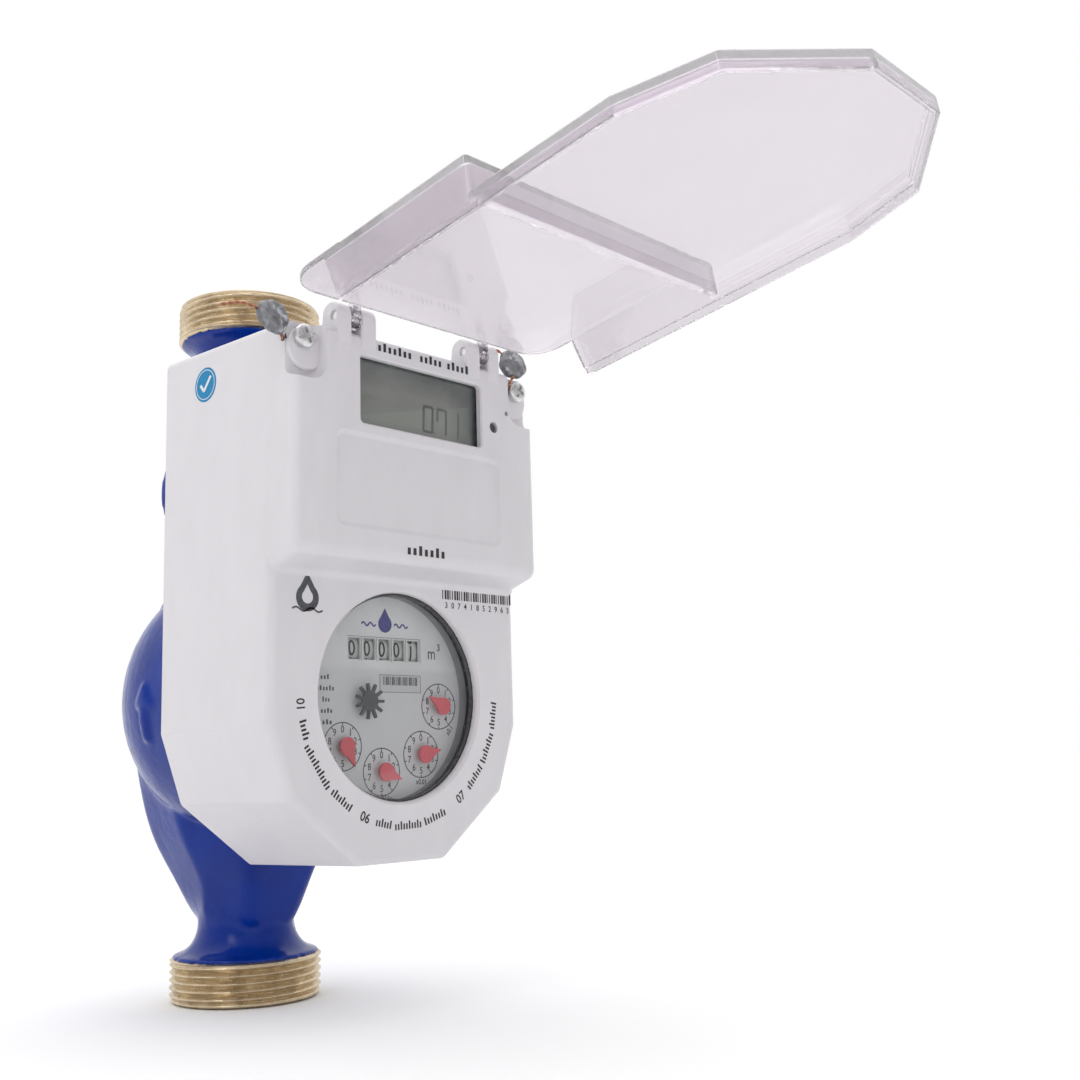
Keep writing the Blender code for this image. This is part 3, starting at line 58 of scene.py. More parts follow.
# ---- driving sizes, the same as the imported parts' -------------------------------------------
BODY_LENGTH = 230.0
THREAD_RADIUS = 23.9
THREAD_LENGTH = 12.8
THREAD_PITCH = 2.309
THREAD_DEPTH = 1.25
END_BORE = 16.0
NECK_RADIUS = 15.25
NECK_BORE = 12.0
NECK_END = 28.0
AXIS_Z = 91.6
BOWL_Z = 94.0
BOWL_RADIUS = 45.0
BOWL_CENTRE_Y = -10.0
BOWL_FRONT_Y = -24.0
MOUTH_RADIUS = 38.5
MOUTH_Y = -34.0
VALVE_Z = 166.0
BOSS_RADIUS = 21.5
HOUSING_HALF = 47.4
DRAFT = 0.035
HOUSING_TOP = 194.8
HOUSING_BACK_Y = -28.0
FACE_Y = -78.6
PANEL_Y = -89.6
PANEL_BOTTOM = 128.5
WALL = 2.2
EDGE_RADIUS = 2.5
CHIN = ((47.4, 83.2), (40.4, 62.8), (16.2, 44.0))
DIAL_OPENING = 30.5
SCREW_X = 42.3
SCREW_Z = 190.0
SCREW_HEAD = 3.4
NOTCH_X = 36.5
NOTCH_Z = 178.0
NOTCH_DEPTH = 4.4
LCD_HALF = 24.0
LCD_Z = (168.2, 188.1)
BUTTON = (29.3, 175.5, 1.75)          # x, z and radius of the round opening
PINHOLE = (35.2, 181.0, 0.8)
CASE_RADIUS = 32.5
CASE_WALL = 1.6
DIAL_Y = -70.0
LENS_Y = (-74.6, -73.3)
POINTER_CIRCLE = 21.3
POINTER_CIRCLE_Z = 91.0
POINTER_ANGLES = (-140.0, -95.0, -50.0, -5.0)
DRUM_RADIUS = 8.4
DRUM_WIDTH = 4.9
DRUM_Z = 105.8
WINDOW_HALF = (2.25, 3.1)             # half width and half height of a drum's window in the dial
PRINT_STRIP = 0.62                    # print on a drum is cut into strips this high, so that it bends
DRUM_TURNS = (0.16, 0.0, 0.0, 0.0, 0.0)  # how far each drum stands past its figure, in figures
LID_OPEN = 99.5
LID_WALL = 1.8
LID_HALF = 50.7
LID_START = 2.8
LID_WALL_START = (23.0, 18.5)         # where the side walls start, at the free edge and at the plate
LID_STEP = 73.5
LID_CHIN = ((50.7, 118.9), (43.4, 143.1), (14.6, 163.8))
LID_FREE_EDGE = -10.7
LID_LOW = -5.3
LID_HIGH = 5.0
PIN_RADIUS = 1.1
TONGUE_CENTRE = 25.65
TONGUE_WIDTH = 2.9
EAR_INNER = 18.3
EAR_OUTER = 32.4
INK = 0.05                            # print stands this far off its surface

HINGE = [value / MM for value in JOINTS["lid_hinge"]["pos_m"]]
NOTCH_FLOOR = PANEL_Y + NOTCH_DEPTH
SPOTS = [(POINTER_CIRCLE * math.cos(math.radians(a)),
          POINTER_CIRCLE_Z + POINTER_CIRCLE * math.sin(math.radians(a))) for a in POINTER_ANGLES]


# ==== materials ==============================================================================

class Finish:
    """A Principled material and short ways to add its nodes."""

    def __init__(self, name, **sockets):
        self.material = bpy.data.materials.new(name)
        self.material.use_nodes = True
        self.tree = self.material.node_tree
        self.shader = self.tree.nodes["Principled BSDF"]
        for socket, value in sockets.items():
            self.shader.inputs[socket.replace("_", " ")].default_value = value
        self.place = self.node("ShaderNodeTexCoord").outputs["Object"]

    def node(self, kind, **settings):
        made = self.tree.nodes.new(kind)
        for setting, value in settings.items():
            setattr(made, setting, value)
        return made

    def join(self, start, end):
        self.tree.links.new(start, end)

    def noise(self, size, detail=3.0, roughness=0.55, stretch=None):
        """Noise whose features are about size millimetres, stretched by stretch along X, Y and Z."""
        made = self.node("ShaderNodeTexNoise")
        made.inputs["Scale"].default_value = 1 / (size * MM)
        made.inputs["Detail"].default_value = detail
        made.inputs["Roughness"].default_value = roughness
        source = self.place
        if stretch:
            mapping = self.node("ShaderNodeMapping")
            mapping.inputs["Scale"].default_value = stretch
            self.join(source, mapping.inputs["Vector"])
            source = mapping.outputs["Vector"]
        self.join(source, made.inputs["Vector"])
        return made.outputs["Fac"]

    def span(self, value, low, high, start=0.35, end=0.65):
        made = self.node("ShaderNodeMapRange")
        for socket, number in (("From Min", start), ("From Max", end), ("To Min", low), ("To Max", high)):
            made.inputs[socket].default_value = number
        self.join(value, made.inputs["Value"])
        return made.outputs["Result"]

    def mix(self, share, first, second):
        """Colour between first and second; each is a colour or a socket."""
        made = self.node("ShaderNodeMix", data_type="RGBA")
        self.join(share, made.inputs["Factor"])
        for value, socket in ((first, made.inputs[6]), (second, made.inputs[7])):
            if isinstance(value, bpy.types.NodeSocket):
                self.join(value, socket)
            else:
                socket.default_value = (*value, 1.0)
        return made.outputs[2]

    def colour(self, socket):
        self.join(socket, self.shader.inputs["Base Color"])

    def rough(self, size, low, high):
        self.join(self.span(self.noise(size), low, high), self.shader.inputs["Roughness"])

    def bump(self, *layers):
        """Each layer is (height socket, depth in millimetres); later layers ride on earlier ones."""
        below = None
        for height, depth in layers:
            made = self.node("ShaderNodeBump")
            made.inputs["Distance"].default_value = depth * MM
            self.join(height, made.inputs["Height"])
            if below:
                self.join(below, made.inputs["Normal"])
            below = made.outputs["Normal"]
        self.join(below, self.shader.inputs["Normal"])

    def worn(self, base, edge, amount):
        """Base colour going towards edge where the surface is sharply convex."""
        pointiness = self.node("ShaderNodeNewGeometry").outputs["Pointiness"]
        return self.mix(self.span(pointiness, 0.0, amount, 0.52, 0.62), base, edge)


def moulded(name, colour, shade, low=0.36, high=0.5, **sockets):
    """Moulded plastic: fine spark texture, faint flow marks and slightly rubbed edges."""
    grain, depth = 0.35, 0.012
    made = Finish(name, **sockets)
    flow = made.noise(9.0, 4.0, 0.6, (1.0, 1.0, 0.4))
    base = made.mix(made.span(flow, 0.0, 1.0), colour, shade)
    lighter = [min(1.0, c * 1.12 + 0.01) for c in colour]
    made.colour(made.worn(base, lighter, 0.5))
    made.rough(3.0, low, high)
    made.bump((made.noise(grain, 2.0), depth), (made.noise(14.0, 1.0), depth * 4))
    return made.material


def machined(name, colour, shade, low, high, axis_stretch=(1.0, 1.0, 14.0), size=1.6, **sockets):
    """Turned or rolled metal: fine lines round the axis, stains and bright edges."""
    depth = 0.015
    made = Finish(name, Metallic=1.0, **sockets)
    stain = made.span(made.noise(5.0, 5.0, 0.6), 0.0, 1.0)
    base = made.mix(stain, colour, shade)
    bright = [min(1.0, c * 1.25) for c in colour]
    made.colour(made.worn(base, bright, 0.7))
    made.rough(2.0, low, high)
    made.bump((made.noise(size, 3.0, 0.6, axis_stretch), depth), (made.noise(0.4, 2.0), depth * 0.6))
    return made.material


def cast_paint():
    """Baked enamel over a sand casting: orange peel over the casting's own grain."""
    made = Finish("blue_enamel", Specular_IOR_Level=0.24)
    shade = made.span(made.noise(22.0, 3.0), 0.0, 1.0)
    base = made.mix(shade, (0.0006, 0.028, 0.27), (0.0006, 0.021, 0.215))
    made.colour(made.worn(base, (0.004, 0.06, 0.42), 0.35))
    made.rough(4.0, 0.13, 0.24)
    made.bump((made.noise(8.0, 2.0), 0.3), (made.noise(1.6, 2.0, 0.5), 0.05))
    return made.material


def clear(name, tint, low, high, ior=1.49, **sockets):
    """Clear moulded plastic or glass with faint flow lines and fine scratches."""
    grain, depth = 6.0, 0.02
    made = Finish(name, Transmission_Weight=1.0, IOR=ior, **sockets)
    paler = [min(1.0, c + 0.015) for c in tint]
    made.colour(made.mix(made.span(made.noise(25.0, 2.0), 0.0, 1.0), tint, paler))
    made.rough(5.0, low, high)
    made.bump((made.noise(grain, 2.0), depth))
    return made.material


def display():
    """Grey-green display glass with painted shade: darker towards its top and left edge, where the recess around
    it shades it.
    """
    made = Finish("lcd", Coat_Weight=0.6, Coat_Roughness=0.05)
    parts = made.node("ShaderNodeSeparateXYZ")
    made.join(made.place, parts.inputs["Vector"])
    # painted shade: the top and one side darken as the recess rim's shadow, not as a colour of the glass itself
    upper = made.span(parts.outputs["Z"], 0.0, 1.0, 0.1800, LCD_Z[1] * MM)
    side = made.span(parts.outputs["X"], 0.0, 1.0, 0.012, LCD_HALF * MM)
    base = made.mix(upper, (0.29, 0.31, 0.27), (0.11, 0.135, 0.13))
    base = made.mix(side, base, (0.075, 0.095, 0.095))
    cloud = made.span(made.noise(12.0, 3.0), 0.0, 0.35)
    made.colour(made.mix(cloud, base, (0.33, 0.35, 0.315)))
    made.rough(4.0, 0.16, 0.26)
    made.bump((made.noise(0.5, 1.0), 0.004))
    return made.material


def dial_face():
    """Printed dial: a light grey sheet with a soft crease across it under the figure windows, and painted light
    that makes the sheet above the crease lighter than below.
    """
    made = Finish("dial_print", Specular_IOR_Level=0.35)
    parts = made.node("ShaderNodeSeparateXYZ")
    made.join(made.place, parts.inputs["Vector"])
    # painted light: lighter above the crease, standing in for the tilted upper part facing the light, darker below
    # it
    below = made.span(parts.outputs["Z"], 1.0, 0.0, 0.0992, 0.1006)
    crease = made.span(parts.outputs["Z"], 0.0, 0.5, 0.0975, 0.1000)
    base = made.mix(below, (0.92, 0.93, 0.945), (0.80, 0.815, 0.84))
    base = made.mix(made.span(made.noise(9.0, 2.0), 0.0, 0.35), base, (0.74, 0.75, 0.77))
    made.colour(base)
    made.rough(2.5, 0.34, 0.5)
    made.bump((crease, 0.25), (made.noise(0.25, 2.0), 0.006))
    return made.material


def printed(name, colour, shade):
    """Screen-printed ink, a little uneven."""
    made = Finish(name, Specular_IOR_Level=0.3)
    made.colour(made.mix(made.span(made.noise(0.8, 3.0), 0.0, 1.0), colour, shade))
    made.rough(0.9, 0.35, 0.6)
    made.bump((made.noise(0.3, 2.0), 0.008))
    return made.material


def lead():
    """Crimped lead: soft, dull and dented."""
    made = Finish("seal_lead", Metallic=0.85)
    base = made.mix(made.span(made.noise(1.6, 4.0), 0.0, 1.0), (0.30, 0.305, 0.325), (0.17, 0.175, 0.185))
    made.colour(made.worn(base, (0.62, 0.63, 0.66), 0.8))
    made.rough(1.0, 0.45, 0.7)
    made.bump((made.noise(2.6, 2.0), 0.3), (made.noise(0.6, 3.0), 0.08))
    return made.material


def make_finishes():
    white = (0.675, 0.655, 0.685)
    return {
        "white_plastic": moulded("white_plastic", white, (0.65, 0.632, 0.66)),
        "grey_plastic": moulded("grey_plastic", (0.30, 0.31, 0.33), (0.26, 0.27, 0.29)),
        "dark_plastic": moulded("dark_plastic", (0.035, 0.037, 0.042), (0.06, 0.062, 0.068), 0.3, 0.45),
        "bezel": moulded("bezel", (0.03, 0.03, 0.033), (0.05, 0.05, 0.055), 0.22, 0.36),
        "case_inner": moulded("case_inner", (0.30, 0.305, 0.32), (0.25, 0.255, 0.27), 0.3, 0.45),
        "red_plastic": moulded("red_plastic", (0.80, 0.105, 0.14), (0.72, 0.08, 0.11), 0.3, 0.42),
        "star_plastic": moulded("star_plastic", (0.055, 0.057, 0.062), (0.08, 0.082, 0.088), 0.45, 0.6),
        "drum_plastic": moulded("drum_plastic", (0.66, 0.69, 0.66), (0.58, 0.61, 0.58), 0.35, 0.5),
        "blue_enamel": cast_paint(),
        "brass": machined("brass", (0.68, 0.56, 0.39), (0.50, 0.40, 0.27), 0.24, 0.42),
        "steel": machined("steel", (0.74, 0.74, 0.74), (0.55, 0.55, 0.56), 0.2, 0.36, size=1.2),
        "copper": machined("copper", (0.42, 0.19, 0.12), (0.22, 0.12, 0.09), 0.28, 0.5, (1.0, 1.0, 1.0), 0.7),
        "seal_lead": lead(),
        "clear_plastic": clear("clear_plastic", (0.71, 0.655, 0.715), 0.0, 0.03, Alpha=0.85),
        "lens": clear("lens", (0.985, 0.99, 0.99), 0.0, 0.02, 1.45),
        "lcd": display(),
        "dial_print": dial_face(),
        "board_green": moulded("board_green", (0.015, 0.16, 0.06), (0.03, 0.22, 0.09), 0.25, 0.4),
        "battery_wrap": moulded("battery_wrap", (0.10, 0.13, 0.25), (0.14, 0.17, 0.3), 0.2, 0.3),
        "ink": printed("ink", (0.022, 0.022, 0.026), (0.045, 0.045, 0.05)),
        "grey_ink": printed("grey_ink", (0.06, 0.062, 0.07), (0.09, 0.092, 0.10)),
        "blue_ink": printed("blue_ink", (0.045, 0.045, 0.28), (0.07, 0.07, 0.34)),
        "label_white": printed("label_white", (0.74, 0.75, 0.77), (0.70, 0.71, 0.73)),
        "sticker_blue": printed("sticker_blue", (0.006, 0.19, 0.40), (0.01, 0.23, 0.46)),
        "segment": printed("segment", (0.10, 0.115, 0.11), (0.13, 0.145, 0.135)),
    }


FINISHES = make_finishes()


# ==== geometry helpers =======================================================================

def finished(name, bm, finish, body="root", replaces=(), sharp=34):
    """A piece from millimetre geometry: placed, shaded, finished and riding on its body."""
    bm.transform(Matrix.Scale(MM, 4))
    mesh = bpy.data.meshes.new(name)
    bm.to_mesh(mesh)
    bm.free()
    made = bpy.data.objects.new(name, mesh)
    bpy.context.scene.collection.objects.link(made)
    dress(made, finish, sharp)
    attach(made, body)
    if replaces:
        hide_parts(*replaces)
    return made


def dress(made, finish, sharp=34):
    made.data.materials.clear()
    made.data.materials.append(FINISHES[finish])
    made.data.shade_smooth()
    made.data.set_sharp_from_angle(angle=math.radians(sharp))


def weighted(made):
    """Keep large flat faces flat next to their fillets."""
    step = made.modifiers.new("weighted", "WEIGHTED_NORMAL")
    step.keep_sharp = True
    step.weight = 80


def boolean(bm, tools, operation):
    """Apply exact Booleans of tools to bm, in millimetres, and return the result."""
    scene = bpy.context.scene.collection
    made = []
    for source in (bm, *tools):
        mesh = bpy.data.meshes.new("tool")
        source.to_mesh(mesh)
        source.free()
        made.append(bpy.data.objects.new("tool", mesh))
        scene.objects.link(made[-1])
    for tool in made[1:]:
        step = made[0].modifiers.new("step", "BOOLEAN")
        step.object = tool
        step.operation = operation
        step.solver = "EXACT"
    depsgraph = bpy.context.evaluated_depsgraph_get()
    result = bmesh.new()
    result.from_mesh(made[0].evaluated_get(depsgraph).to_mesh())
    for item in made:
        mesh = item.data
        bpy.data.objects.remove(item)
        bpy.data.meshes.remove(mesh)
    return result


def cut(bm, *tools):
    return boolean(bm, tools, "DIFFERENCE")


def fuse(bm, *tools):
    return boolean(bm, tools, "UNION")


def closed(bm):
    bmesh.ops.remove_doubles(bm, verts=bm.verts, dist=1e-4)
    bmesh.ops.recalc_face_normals(bm, faces=bm.faces)
    return bm


AXIS_TURN = {
    "Z": Matrix.Identity(4),
    "Y": Matrix.Rotation(-math.pi / 2, 4, "X"),
    "X": Matrix.Rotation(math.pi / 2, 4, "Y"),
}


def turned(profile, centre=(0.0, 0.0, 0.0), axis="Y", steps=96):
    """Spin a (radius, height) profile about an axis; a profile off the axis makes a ring."""
    bm = bmesh.new()
    verts = [bm.verts.new((radius, 0.0, height)) for radius, height in profile]
    ends = list(zip(verts, verts[1:]))
    if all(radius > 0 for radius, _ in profile):
        ends.append((verts[-1], verts[0]))
    edges = [bm.edges.new(pair) for pair in ends]
    bmesh.ops.spin(bm, geom=verts + edges, axis=(0, 0, 1), cent=(0, 0, 0),
                   steps=steps, angle=2 * math.pi, use_merge=True)
    bm.transform(Matrix.Translation(centre) @ AXIS_TURN[axis])
    return closed(bm)


def rod(radius, low, high, x, z, steps=48, soft=0.0):
    """A solid cylinder along Y; soft rounds its front edge."""
    profile = [(0, low), (radius - soft, low), (radius, low + soft), (radius, high), (0, high)]
    if not soft:
        del profile[2]
    return turned(profile, (x, 0, z), "Y", steps)


def lofted(rings):
    """Skin closed rings of equal point count and cap both ends."""
    bm = bmesh.new()
    made = [[bm.verts.new(point) for point in points] for points in rings]
    count = len(made[0])
    for lower, upper in zip(made, made[1:]):
        for i in range(count):
            j = (i + 1) % count
            bm.faces.new((lower[i], lower[j], upper[j], upper[i]))
    bm.faces.new(made[0])
    bm.faces.new(made[-1])
    bmesh.ops.recalc_face_normals(bm, faces=bm.faces)
    return bm


def prism(outline, low, high, axis="Y"):
    put = {
        "X": lambda a, b, h: (h, a, b),
        "Y": lambda a, b, h: (a, h, b),
        "Z": lambda a, b, h: (a, b, h),
    }[axis]
    return lofted([[put(a, b, height) for a, b in outline] for height in (low, high)])


def gathered(*parts):
    """Several shapes in one mesh."""
    bm = bmesh.new()
    for part in parts:
        mesh = bpy.data.meshes.new("part")
        part.to_mesh(mesh)
        part.free()
        bm.from_mesh(mesh)
        bpy.data.meshes.remove(mesh)
    return bm


def circle(radius, count):
    turn = 2 * math.pi / count
    return [(radius * math.cos(i * turn), radius * math.sin(i * turn)) for i in range(count)]


def rounded(outline, radius, steps=6, only=None):
    """Round an outline's corners; only picks corners by index."""
    made = []
    count = len(outline)
    for i, corner in enumerate(outline):
        if only is not None and i not in only:
            made.append(corner)
            continue
        here = Vector(corner)
        before = (Vector(outline[i - 1]) - here).normalized()
        after = (Vector(outline[(i + 1) % count]) - here).normalized()
        half = before.angle(after) / 2
        reach = radius / math.tan(half)
        middle = here + (before + after).normalized() * radius / math.sin(half)
        first = here + before * reach - middle
        last = here + after * reach - middle
        sweep = math.atan2(first.x * last.y - first.y * last.x, first.dot(last))
        for k in range(steps + 1):
            c, s = math.cos(sweep * k / steps), math.sin(sweep * k / steps)
            made.append((middle.x + first.x * c - first.y * s, middle.y + first.x * s + first.y * c))
    return made


def inset(outline, distance):
    """Move each side of a closed outline inwards by distance."""
    area = sum(a[0] * b[1] - b[0] * a[1] for a, b in zip(outline, outline[1:] + outline[:1]))
    turn = 1 if area > 0 else -1
    count = len(outline)
    made = []
    for i in range(count):
        here = Vector(outline[i])
        back = (here - Vector(outline[i - 1])).normalized()
        ahead = (Vector(outline[(i + 1) % count]) - here).normalized()
        n1 = Vector((-back.y, back.x)) * turn
        n2 = Vector((-ahead.y, ahead.x)) * turn
        made.append(tuple(here + (n1 + n2) * distance / (1 + n1.dot(n2))))
    return made


def rectangle(x0, x1, z0, z1):
    return [(x0, z0), (x1, z0), (x1, z1), (x0, z1)]


# ==== pipe body ==============================================================================

def duct_section(half, front, back, corner, height):
    outline = rounded([(half, front), (half, back), (-half, back), (-half, front)], corner, 8)
    return [(x, y, height) for x, y in outline]


def ridged_section(half, ridge, front, back, height):
    """Six-sided section of the lower duct: front and back are (half width, y), the ridges stand at +-half."""
    right = [(front[0], front[1]), (half, ridge), (back[0], back[1])]
    outline = [*right, *[(-x, y) for x, y in reversed(right)]]
    made = []
    for i, corner in enumerate(outline):
        radius = 2.4 if i in (1, 4) else 5.0
        spot = rounded([outline[i - 1], corner, outline[(i + 1) % 6]], radius, 6, (1,))[1:-1]
        made += [(x, y, height) for x, y in spot]
    return made


def eased(sections):
    """Sections along a smooth curve through the given ones."""
    steps = 6
    made = []
    padded = [sections[0], *sections, sections[-1]]
    for p0, p1, p2, p3 in zip(padded, padded[1:], padded[2:], padded[3:]):
        for k in range(steps):
            t = k / steps
            row = []
            for a, b, c, d in zip(p0, p1, p2, p3):
                a, b, c, d = Vector(a), Vector(b), Vector(c), Vector(d)
                row.append(tuple(0.5 * (2 * b + (c - a) * t + (2 * a - 5 * b + 4 * c - d) * t * t
                                        + (3 * b - a - 3 * c + d) * t ** 3)))
            made.append(row)
    made.append(sections[-1])
    return made


def flare_profile():
    """From the thread's shoulder in to the neck: a turned collar, then a concave sweep."""
    low, rise = THREAD_LENGTH + 0.2, 9.5
    wide = THREAD_RADIUS - 0.7
    points = [(wide, low), (wide, low + 1.2)]
    for k in range(1, 11):
        a = math.pi / 2 * k / 10
        points.append((wide + (NECK_RADIUS - wide) * math.sin(a), low + 1.2 + rise * (1 - math.cos(a))))
    return points


def make_body():
    """The casting, remeshed into one skin so that its ducts, bowl and bosses run into each other."""
    flare = flare_profile()
    top = BODY_LENGTH
    lower = turned([(0, THREAD_LENGTH), *flare, (NECK_RADIUS, 60), (0, 60)], axis="Z", steps=72)
    upper = turned([(0, 150), (NECK_RADIUS + 4, 150), (NECK_RADIUS + 4, 184), (NECK_RADIUS + 1.5, 192),
                    (NECK_RADIUS, 200), *[(r, top - h) for r, h in reversed(flare)],
                    (0, top - THREAD_LENGTH)], axis="Z", steps=72)
    arc = [math.radians(a) for a in range(0, 91, 6)]
    dome = [(BOWL_RADIUS * math.cos(a), BOWL_CENTRE_Y + BOWL_RADIUS * math.sin(a)) for a in arc]
    dome[-1] = (0, dome[-1][1])
    mouth = [(0, BOWL_FRONT_Y), (BOWL_RADIUS - 1, BOWL_FRONT_Y), (BOWL_RADIUS, BOWL_FRONT_Y + 1)]
    bowl = turned([*mouth, *dome], (0, 0, BOWL_Z))
    neck = NECK_RADIUS
    duct = lofted(eased([
        ridged_section(neck, 0.0, (8.6, -15.0), (8.6, 15.0), NECK_END - 4),
        ridged_section(neck + 1.0, -0.5, (10.2, -16.6), (11.0, 17.8), NECK_END),
        ridged_section(neck + 2.4, -1.0, (12.6, -19.8), (15.0, 21.5), NECK_END + 9),
        ridged_section(neck + 9.8, -1.8, (16.4, -23.2), (22.0, 23.5), NECK_END + 23),
        ridged_section(neck + 15.3, -2.0, (20.0, BOWL_FRONT_Y), (26.0, 24.5), NECK_END + 38),
        ridged_section(neck + 22.8, -2.0, (26.0, BOWL_FRONT_Y), (27.5, 23.0), NECK_END + 52),
        ridged_section(neck + 22.8, -4.0, (26.0, BOWL_FRONT_Y), (22.0, 20.0), NECK_END + 66),
    ]))
    riser = lofted(eased([
        duct_section(neck + 19.0, BOWL_FRONT_Y, neck + 9.0, 14.0, BOWL_Z + 18),
        duct_section(neck + 12.0, BOWL_FRONT_Y, neck + 6.0, 11.0, BOWL_Z + 28),
        duct_section(neck + 6.5, -neck - 7.0, neck + 5.0, 10.0, BOWL_Z + 42),
        duct_section(neck + 3.2, -neck - 3.2, neck + 3.2, 9.0, VALVE_Z),
    ]))
    mouth = rod(MOUTH_RADIUS, MOUTH_Y, BOWL_FRONT_Y + 6, 0, AXIS_Z)
    boss = rod(BOSS_RADIUS, HOUSING_BACK_Y - 0.7, BOSS_RADIUS, 0, VALVE_Z)
    marks = [flow_arrow(side) for side in (-1, 1)]
    skin = gathered(lower, upper, bowl, duct, riser, mouth, boss, *marks)
    bm = smoothed_skin(skin, 0.95, 5)
    bores = [turned([(0, -1), (NECK_BORE, -1), (NECK_BORE, 47), (0, 47)], axis="Z", steps=64),
             turned([(0, 196), (NECK_BORE, 196), (NECK_BORE, 231), (0, 231)], axis="Z", steps=64)]
    bm = cut(bm, *bores)
    finished("body_casting", bm, "blue_enamel", replaces=("meter_body",), sharp=50)
    for name, end in (("inlet_thread", 0), ("outlet_thread", 1)):
        finished(name, thread(end), "brass", sharp=28)


def smoothed_skin(bm, voxel, rounds):
    """Overlapping closed shapes made into one skin with blended joins."""
    mesh = bpy.data.meshes.new("skin")
    bm.to_mesh(mesh)
    bm.free()
    made = bpy.data.objects.new("skin", mesh)
    bpy.context.scene.collection.objects.link(made)
    step = made.modifiers.new("remesh", "REMESH")
    step.mode = "VOXEL"
    step.voxel_size = voxel
    step = made.modifiers.new("smooth", "SMOOTH")
    step.factor = 0.6
    step.iterations = rounds
    depsgraph = bpy.context.evaluated_depsgraph_get()
    result = bmesh.new()
    result.from_mesh(made.evaluated_get(depsgraph).to_mesh())
    bpy.data.objects.remove(made)
    bpy.data.meshes.remove(mesh)
    return result


def flow_arrow(side):
    """A raised arrow up the side of the bowl, its face following the bowl."""
    rise = 1.3
    shaft, head, tip = 1.5, 4.4, 9.0
    outline = [(-shaft, -tip), (shaft, -tip), (shaft, 1.5), (head, 1.5),
               (0, tip), (-head, 1.5), (-shaft, 1.5)]
    outline = [(y - 11, BOWL_Z - 4 + z) for y, z in rounded(outline, 0.4, 2)]
    bar = prism(outline, *sorted((side * 30, side * 60)), "X")
    grown = BOWL_RADIUS + rise
    arc = [math.radians(a) for a in range(0, 91, 5)]
    dome = [(grown * math.cos(a), BOWL_CENTRE_Y + grown * math.sin(a)) for a in arc]
    dome[-1] = (0, dome[-1][1])
    shell = turned([(0, BOWL_FRONT_Y), (grown, BOWL_FRONT_Y), *dome], (0, 0, BOWL_Z), steps=128)
    core = BOWL_RADIUS - 1.5
    dome = [(core * math.cos(a), BOWL_CENTRE_Y + core * math.sin(a)) for a in arc]
    dome[-1] = (0, dome[-1][1])
    inner = turned([(0, BOWL_FRONT_Y - 1), (core, BOWL_FRONT_Y - 1), *dome], (0, 0, BOWL_Z), steps=128)
    return cut(boolean(bar, [shell], "INTERSECT"), inner)


def thread(end):
    """A brass end: helical pipe thread outside, chamfered mouth and stepped bore inside."""
    around, along = 120, 84
    steep = 1.15
    rows = []
    for j in range(along + 1):
        z = 0.5 + (THREAD_LENGTH - 0.5) * j / along
        row = []
        for i in range(around):
            a = 2 * math.pi * i / around
            phase = (z / THREAD_PITCH - i / around) % 1.0
            ridge = min(1.0, max(0.0, steep * (1 - abs(2 * phase - 1)) - 0.05))
            fade = min(1.0, (z - 0.5) / 1.6 + 0.15, (THREAD_LENGTH - z) / 0.9)
            crest = THREAD_RADIUS - 0.5 * max(0.0, 1 - (z - 0.5) / 1.2)
            radius = crest - THREAD_DEPTH * (1 - ridge) * max(0.0, fade)
            row.append((radius * math.cos(a), radius * math.sin(a), z))
        rows.append(row)
    ring = lambda radius, z: [(radius * math.cos(2 * math.pi * i / around),
                               radius * math.sin(2 * math.pi * i / around), z) for i in range(around)]
    inner = [ring(THREAD_RADIUS - 1.4, 0.0), ring(END_BORE + 0.8, 0.0), ring(END_BORE, 0.8),
             ring(END_BORE, THREAD_LENGTH - 3), ring(NECK_BORE - 0.1, THREAD_LENGTH + 1.6)]
    outer = [ring(THREAD_RADIUS - 1.0, THREAD_LENGTH + 0.35), ring(THREAD_RADIUS - 3.0, THREAD_LENGTH + 1.6)]
    rings = [*reversed(inner), *rows, *outer]
    bm = bmesh.new()
    made = [[bm.verts.new(p) for p in points] for points in rings]
    made.append(made[0])
    for lower, upper in zip(made, made[1:]):
        for i in range(around):
            j = (i + 1) % around
            bm.faces.new((lower[i], lower[j], upper[j], upper[i]))
    if end:
        bm.transform(Matrix.Translation((0, 0, BODY_LENGTH)) @ Matrix.Rotation(math.pi, 4, "X"))
    bmesh.ops.recalc_face_normals(bm, faces=bm.faces)
    return bm


# ==== housing ================================================================================

def housing_outline(y, inward=0.0, corner=2.5, steps=6):
    spread = DRAFT * (y - FACE_Y)
    chin = [(x + spread, z - spread * 0.4) for x, z in CHIN]
    half = HOUSING_HALF + spread
    right = [(half, HOUSING_TOP), *chin]
    outline = inset([*right, *[(-x, z) for x, z in reversed(right)]], inward)
    return rounded(outline, corner, steps)


def fillet(radius, steps=6):
    """(depth behind the front face, inset) pairs round a quarter circle."""
    for k in range(steps + 1):
        a = math.pi / 2 * k / steps
        yield radius * (1 - math.sin(a)), radius * (1 - math.cos(a))


